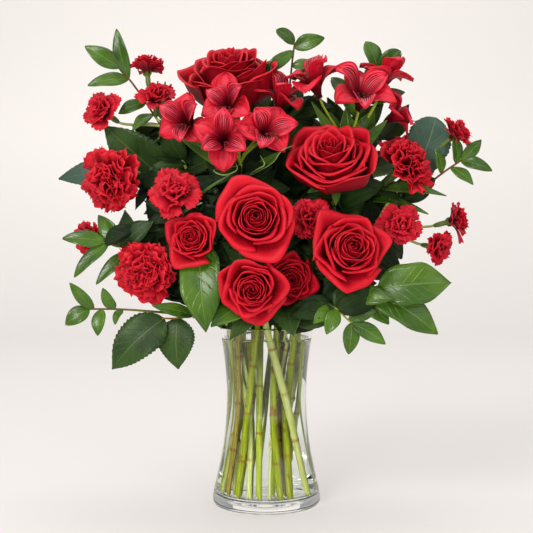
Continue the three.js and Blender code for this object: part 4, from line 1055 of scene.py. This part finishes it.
def rose_petals(radius, depth, turn, tips, cupped, straight, seed):
    """A rose's thirty petals, the last the outermost. In the plane of the axis each is a
    cubic from the foot to its lip: inner ones close over the middle, outer ones open wide
    or stand in a cup, and all roll back at the lip. Seen from the front the lip of an outer
    one runs straight from its point to its two shoulders, by the polar form of a line; the
    inner the petal, the nearer to an arc."""
    luck = np.random.default_rng(seed)
    count = 30
    t = np.linspace(0, 1, count)
    u = np.linspace(-1, 1, 21)[:, None]
    v = np.linspace(0, 1, 13)
    chance = luck.uniform(-1, 1, (6, count))[:, :, None, None]
    round_axis = (math.radians(turn) - np.arange(count)[::-1] * GOLDEN
                  + 0.2 * luck.uniform(-1, 1, count))
    longer = np.ones(count)
    for place, (degrees, share) in enumerate(tips):
        round_axis[-1 - place] = math.radians(degrees)
        longer[-1 - place] = share / (1 - 0.012 * place)

    def ranks(opened, cup=None):
        """A value for each petal, in straight steps from the innermost to the outermost; a
        cupped rose may have its own."""
        values = cup if cup and cupped else opened
        return np.interp(t, np.linspace(0, 1, len(values)), values)[:, None, None]

    reach = ranks((0.03, 0.12, 0.23, 0.39, 0.66, 1.03), (0.03, 0.15, 0.32, 0.54, 0.78, 1.01))
    reach = reach * longer[:, None, None] * (1 + 0.03 * chance[0])
    half = ranks((2.3, 2.0, 1.65, 1.4, 1.25, 1.15)) * (1 + 0.08 * chance[1])
    shoulder = reach * ranks((1.0, 1.0, 0.97, 0.93, 0.84, 0.76))
    off = np.sqrt(u**2 + 0.004)
    fan = np.minimum(half, 1.4)
    line = reach * shoulder * np.sin(fan) / (
        reach * np.sin(fan * off) + shoulder * np.sin(fan * (1 - np.minimum(off, 1))) + 1e-6)
    arc = reach + (shoulder - reach) * u**2
    pointed = straight * ranks((0.0, 0.0, 0.2, 0.5, 0.8, 0.92))    # share of the straight lip
    lip = pointed * line + (1 - pointed) * arc
    size = lip / reach
    high = ranks((0.94, 1.0, 1.0, 0.94, 0.8, 0.55), (1.14, 1.2, 1.2, 1.14, 1.0, 1.0))
    droop = ranks((0.45, 0.4, 0.34, 0.28, 0.2, 0.1)) * np.abs(u)**1.7
    high = high + 0.04 * chance[2] - droop
    # The handles near the foot and near the lip, then the roll and the ripples of the lip.
    r_low = ranks((0.12, 0.3, 0.42, 0.52, 0.6, 0.66), (0.12, 0.3, 0.42, 0.52, 0.8, 0.94))
    r_high = ranks((0.09, 0.14, 0.22, 0.36, 0.58, 0.86), (0.09, 0.14, 0.22, 0.36, 0.7, 1.02))
    z_low = ranks((0.25, 0.2, 0.14, 0.06, 0.0, -0.02))
    z_high = ranks((0.9, 0.88, 0.86, 0.82, 0.78, 0.8), (0.9, 0.88, 0.86, 0.82, 0.58, 0.45))
    r = curve_of([0.05, r_low * size, r_high * size, lip], v)
    z = curve_of([0.0, z_low, high * z_high, high], v)
    roll = np.clip((v - 0.76) / 0.24, 0, 1)**1.7
    curled = (ranks((0.2, 0.5, 0.9, 1.1, 1.2, 1.0), (0.2, 0.5, 0.9, 1.1, 1.8, 2.2))
              * (0.7 + 0.5 * np.sin(np.pi * np.abs(u)) + 0.4 * chance[3]))
    r = r + 0.03 * curled * roll
    z = z - 0.075 * curled * roll**1.4
    ripple = np.sin(5 * u + 6 * chance[4]) + 0.6 * np.sin(9 * u + 5 * chance[5])
    r = r * (1 + ranks((0.1, 0.16, 0.12, 0.09, 0.06, 0.04)) * u * np.clip(1.4 * v, 0, 1))
    r = r + 0.018 * v**3 * ripple * ranks((0.2, 0.5, 0.8, 1.0, 1.4, 1.5))
    z = z + 0.03 * v**3 * np.sin(7 * u + 6 * chance[5]) * ranks((0.2, 0.5, 0.8, 1.0, 1.2, 1.2))
    angle = round_axis[:, None, None] + u * half * (1 - 0.1 * (1 - v))
    grids = np.stack([radius * r * np.cos(angle), radius * r * np.sin(angle), depth * z], -1)
    mesh, under = closed_sheets(grids, thickness=0.45)
    return mesh, for_each(luck.uniform(0.8, 1.0, count), under), 1 - under


# The two cupped roses stand wider and taller than their solids.
cups = {"rose_top_left": (1.01, 1.22), "rose_upper_right": (1.05, 1.15)}
for number, (name, (at, face, radius, depth, turn)) in enumerate(roses.items()):
    broad, tall = cups.get(name, (1, 1))
    mesh, age, back = rose_petals(radius * broad, depth * tall, turn, points[name], name in cups,
                                  straight=0.5 if name == "rose_centre" else 1.0,
                                  seed=20 + number)
    heap = Heap(age=1, back=0)
    heap.add(set_in_place(mesh, at, face, depth), "rose_velvet", age=age, back=back)
    piece = heap.piece("petals_of_" + name)
    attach(piece, "root")
    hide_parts(name + "_bloom")

# --------------------------------------------------------------------- the carnations
# Dozens of thin petals rise from a tube, each a fan with a toothed edge that crumples
# against its neighbours. The spray carnations are the same thing made smaller.

petal_finish("carnation_frill", (0.05, 0.001, 0.003), (0.41, 0.0034, 0.012),
             (0.58, 0.009, 0.022), lip_highlight_share=0.6, start=0.48, end=0.98, bump=0.2, sheen=0.02)
petal_finish("spray_frill", (0.06, 0.001, 0.004), (0.41, 0.0034, 0.014),
             (0.56, 0.009, 0.022), lip_highlight_share=0.6, start=0.2, end=0.88, bump=0.25, sheen=0.02)


def about_axis(out, wide, up, angle):
    """Sheets from their distances out from the axis, sideways and up, each turned round the
    axis by its own angle."""
    return np.stack([out * np.cos(angle) - wide * np.sin(angle),
                     out * np.sin(angle) + wide * np.cos(angle), up], -1)


def carnation_petals(radius, seed, count, rate, crumple, loose):
    """A carnation's petals. In the plane of the axis each runs from the tube's mouth to a
    lip on the dome of the head, some way loose from its place there. It widens like a fan,
    its surface crumples in waves, by two sines of this rate, the more the nearer the lip,
    and small teeth cut the lip itself."""
    luck = np.random.default_rng(seed)
    k = np.arange(count)[:, None, None]
    t = (k + 0.5) / count
    u = np.linspace(-1, 1, 33)[:, None]
    v = np.linspace(0, 1, 9)
    chance = luck.uniform(-1, 1, (8, count))[:, :, None, None]
    far = np.interp(t, [0, 0.3, 0.7, 1.0], [0.02, 0.35, 0.75, 0.98]) * (1 + loose * chance[0])
    high = np.interp(t, [0, 0.3, 0.7, 1.0], [1.0, 0.96, 0.74, 0.42]) * (1 + loose * chance[1])
    high = 0.75 * high
    teeth = 0.08 * (2 * np.abs((u * 4 + chance[2]) % 1 - 0.5) - 0.5) * np.clip(v * 5 - 4, 0, 1)
    s = v * (1 - 0.2 * np.abs(u)**2.2) + teeth
    r = curve_of([0.05, 0.10 + 0.12 * far, 0.6 * far, far], s)
    z = curve_of([0.0, 0.34, high + 0.14 * (1 - far), high], s)
    slope_r = np.gradient(r, axis=2)
    slope_z = np.gradient(z, axis=2)
    steep = np.sqrt(slope_r**2 + slope_z**2) + 1e-9
    waves = (np.sin(rate * u + 3.1 * chance[3] + 1.5 * v)
             + 0.5 * np.sin(1.9 * rate * u + 3.1 * chance[4] - 2 * v))
    swell = crumple * v**1.8 * waves
    r = r + swell * slope_z / steep
    z = z - swell * slope_r / steep + 0.03 * v**3 * np.sin(11 * u + 3 * chance[6])
    wide = (0.05 + (0.4 + 0.06 * chance[7]) * v**1.3) * u
    wide = wide + 0.5 * crumple * v**2 * np.sin(2 * rate * u + 3.1 * chance[3])
    r = r - 0.35 * wide**2
    grids = radius * about_axis(r, wide, z, k * GOLDEN + 0.25 * chance[6])
    mesh, under = closed_sheets(grids, thickness=0.35)
    return mesh, for_each(luck.uniform(0.75, 1.0, count), under)


# The heads stand a little wider than their solids, the four named sprays most.
spray_widths = {"upper_right": 1.25, "top": 1.15, "low_left": 1.12, "far_right": 1.12}
frills = [(name, name + "_bloom", at, face, 1.05 * radius, "carnation")
          for name, (at, face, radius) in carnations.items()]
frills += [("spray_" + label, "spray_bloom_" + label, at, face,
            spray_widths.get(label, 1.06) * radius, "spray")
           for label, (name, at, face, radius) in sprays.items()]
for number, (name, node, at, face, radius, kind) in enumerate(frills):
    form = (38, 5.0, 0.11, 0.17) if kind == "carnation" else (18, 3.4, 0.07, 0.2)
    mesh, age = carnation_petals(radius, 60 + number, *form)
    heap = Heap(age=1)
    heap.add(set_in_place(mesh, at, face, 0.75 * radius), kind + "_frill", age=age)
    piece = heap.piece("petals_of_" + name)
    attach(piece, "root")
    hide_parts(node)

# ------------------------------------------------------------------- the alstroemerias
# Each floret is a small lily: three broad outer petals, three narrower inner ones marked with rows
# of dark dashes, and a bundle of curved stamens in a throat painted dark with shade.

tree, shader = finish_of("lily_petal", Roughness=0.45, Specular_IOR_Level=0.22,
                         Subsurface_Weight=0.12, Subsurface_Radius=(0.003, 0.0006, 0.0006))
split = pattern(tree)
vein = noise(tree, "UV", scale=1.0, detail=3.0, stretch=(22.0, 2.0, 1.0))
streaked = marked(tree, "streaked")
off_rib = from_half(tree, split["X"])
lane = from_half(tree, sums(tree, "FRACT", times(tree, split["X"], 11.0)))
dash = noise(tree, "UV", scale=1.0, detail=0.0, stretch=(11.0, 3.0, 1.0))
dashes = times(tree, rest(tree, ramp(tree, lane, 0.16, 0.3)), ramp(tree, dash, 0.22, 0.32),
               rest(tree, ramp(tree, off_rib, 0.3, 0.42)), streaked,
               rest(tree, ramp(tree, split["Y"], 0.84, 0.92)))
# Painted shade: darker towards the throat, at the foot of each petal.
lit = times(tree, ramp(tree, split["Y"], 0.1, 0.8), marked(tree, "age"))
shown = blend(tree, lit, (0.05, 0.001, 0.005), (0.47, 0.0025, 0.014))
# Paler pink along the veins towards the tips: the inner petals' own paler tone, and on the outer
# ones a painted highlight.
rosy_and_highlight = times(tree, ramp(tree, vein, 0.45, 0.6), ramp(tree, split["Y"], 0.35, 0.85),
             sums(tree, "MULTIPLY_ADD", streaked, 0.6, 0.25))
shown = blend(tree, rosy_and_highlight, shown, (0.76, 0.07, 0.12))
shown = blend(tree, dashes, shown, (0.012, 0.0005, 0.002))
tip_green = times(tree, ramp(tree, split["Y"], 0.95, 1.0),
                  rest(tree, ramp(tree, off_rib, 0.06, 0.2)), rest(tree, streaked))
shown = blend(tree, tip_green, shown, (0.07, 0.06, 0.02))
plug(tree, shown, shader.inputs["Base Color"])
emboss(tree, shader, vein, strength=0.6)
finish_of("stamen_red", Base_Color=(0.22, 0.012, 0.02), Roughness=0.5)
finish_of("anther_brown", Base_Color=(0.05, 0.025, 0.012), Roughness=0.8)


def lily_petals(radius, turn, seed):
    """A floret's six petals. In the plane of the axis each leaves the foot steeply and
    flares; its width swells past the middle and narrows to a tip. Outer ones are broad and
    cupped, inner ones narrow; both wave a little at their sides."""
    luck = np.random.default_rng(seed)
    k = np.arange(6)[:, None, None]
    inner = k % 2
    u = np.linspace(-1, 1, 15)[:, None]
    v = np.linspace(0, 1, 25)
    chance = luck.uniform(-1, 1, (6, 6))[:, :, None, None]
    far = np.where(inner, 0.9, 1.08) * (1 + 0.14 * chance[0])
    high = np.where(inner, 1.06, 0.78) * (1 + 0.2 * chance[1])
    r = curve_of([0.03, 0.1, 0.3 * far, far], v)
    z = curve_of([0.0, 0.45, high + 0.06, high - 0.12 * (1 - inner)], v)
    grown = 0.03 + 0.97 * v
    broad = 0.47 * np.sin(np.pi * grown**2.7)**0.7 + 0.1 * (1 - v)
    thin = 0.34 * np.sin(np.pi * grown**2.1)**0.75 + 0.035 * (1 - v)
    wide = (np.where(inner, thin, broad) + 0.01) * u
    cup = np.where(inner, 0.9, 0.6) * np.abs(wide)**1.4
    wave = 0.11 * v**1.5 * np.sin(4 * u + 7 * v + 3 * chance[2]) * np.abs(u)
    r = r - 0.5 * cup * v
    z = z + 0.7 * cup + wave + 0.08 * chance[3] * v**2
    angle = math.radians(turn) + k * np.pi / 3 + 0.1 * chance[4]
    mesh, under = closed_sheets(radius * about_axis(r, wide, z, angle), thickness=0.4)
    streaks = for_each(inner.ravel(), under) * under
    return mesh, streaks, for_each(luck.uniform(0.62, 1.0, 6), under)


# The florets at the top and the right stand wider than their solids.
floret_widths = {"top": 1.3, "top_right": 1.3, "right": 1.3, "upper_right": 1.15,
                 "upper_middle": 1.15, "upper_left": 1.15}
for number, (label, (name, at, face, radius, turn)) in enumerate(florets.items()):
    seat = at, face, 0.8 * radius
    radius *= floret_widths.get(label, 1.0)
    mesh, streaks, age = lily_petals(radius, turn, seed=90 + number)
    heap = Heap(age=1, streaked=0)
    heap.add(set_in_place(mesh, *seat), "lily_petal", age=age, streaked=streaks)
    # Six stamens, each a cubic that leans aside and down, with a pod on its tip.
    for k in range(6):
        lean = math.cos(math.radians(turn) + 0.9 * math.sin(k * 2.1))
        tip = 0.5 + 0.06 * (k % 3) + 0.3
        four = np.array([(0.02 * math.cos(k), 0.02 * math.sin(k), 0.03), (0.0, -0.02, 0.45),
                         (0.14 * lean, -0.12, 0.75), (0.28 * lean, -0.2 - 0.05 * k, tip)])
        line = curve_of(four, np.linspace(0, 1, 9)[:, None]) * radius
        pod = line[-1] + [[0, 0, -1.2], [0, 0, -0.5], [0, 0, 0.4], [0, 0, 1.1]]
        thread = tube(line, np.linspace(0.55, 0.4, len(line)), sides=6)
        heap.add(set_in_place(thread, *seat), "stamen_red")
        bead = tube(pod, [0.4, 0.95, 0.95, 0.3], sides=6)
        heap.add(set_in_place(bead, *seat), "anther_brown")
    piece = heap.piece("floret_" + label + "_petals")
    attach(piece, "root")
    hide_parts("floret_" + label)
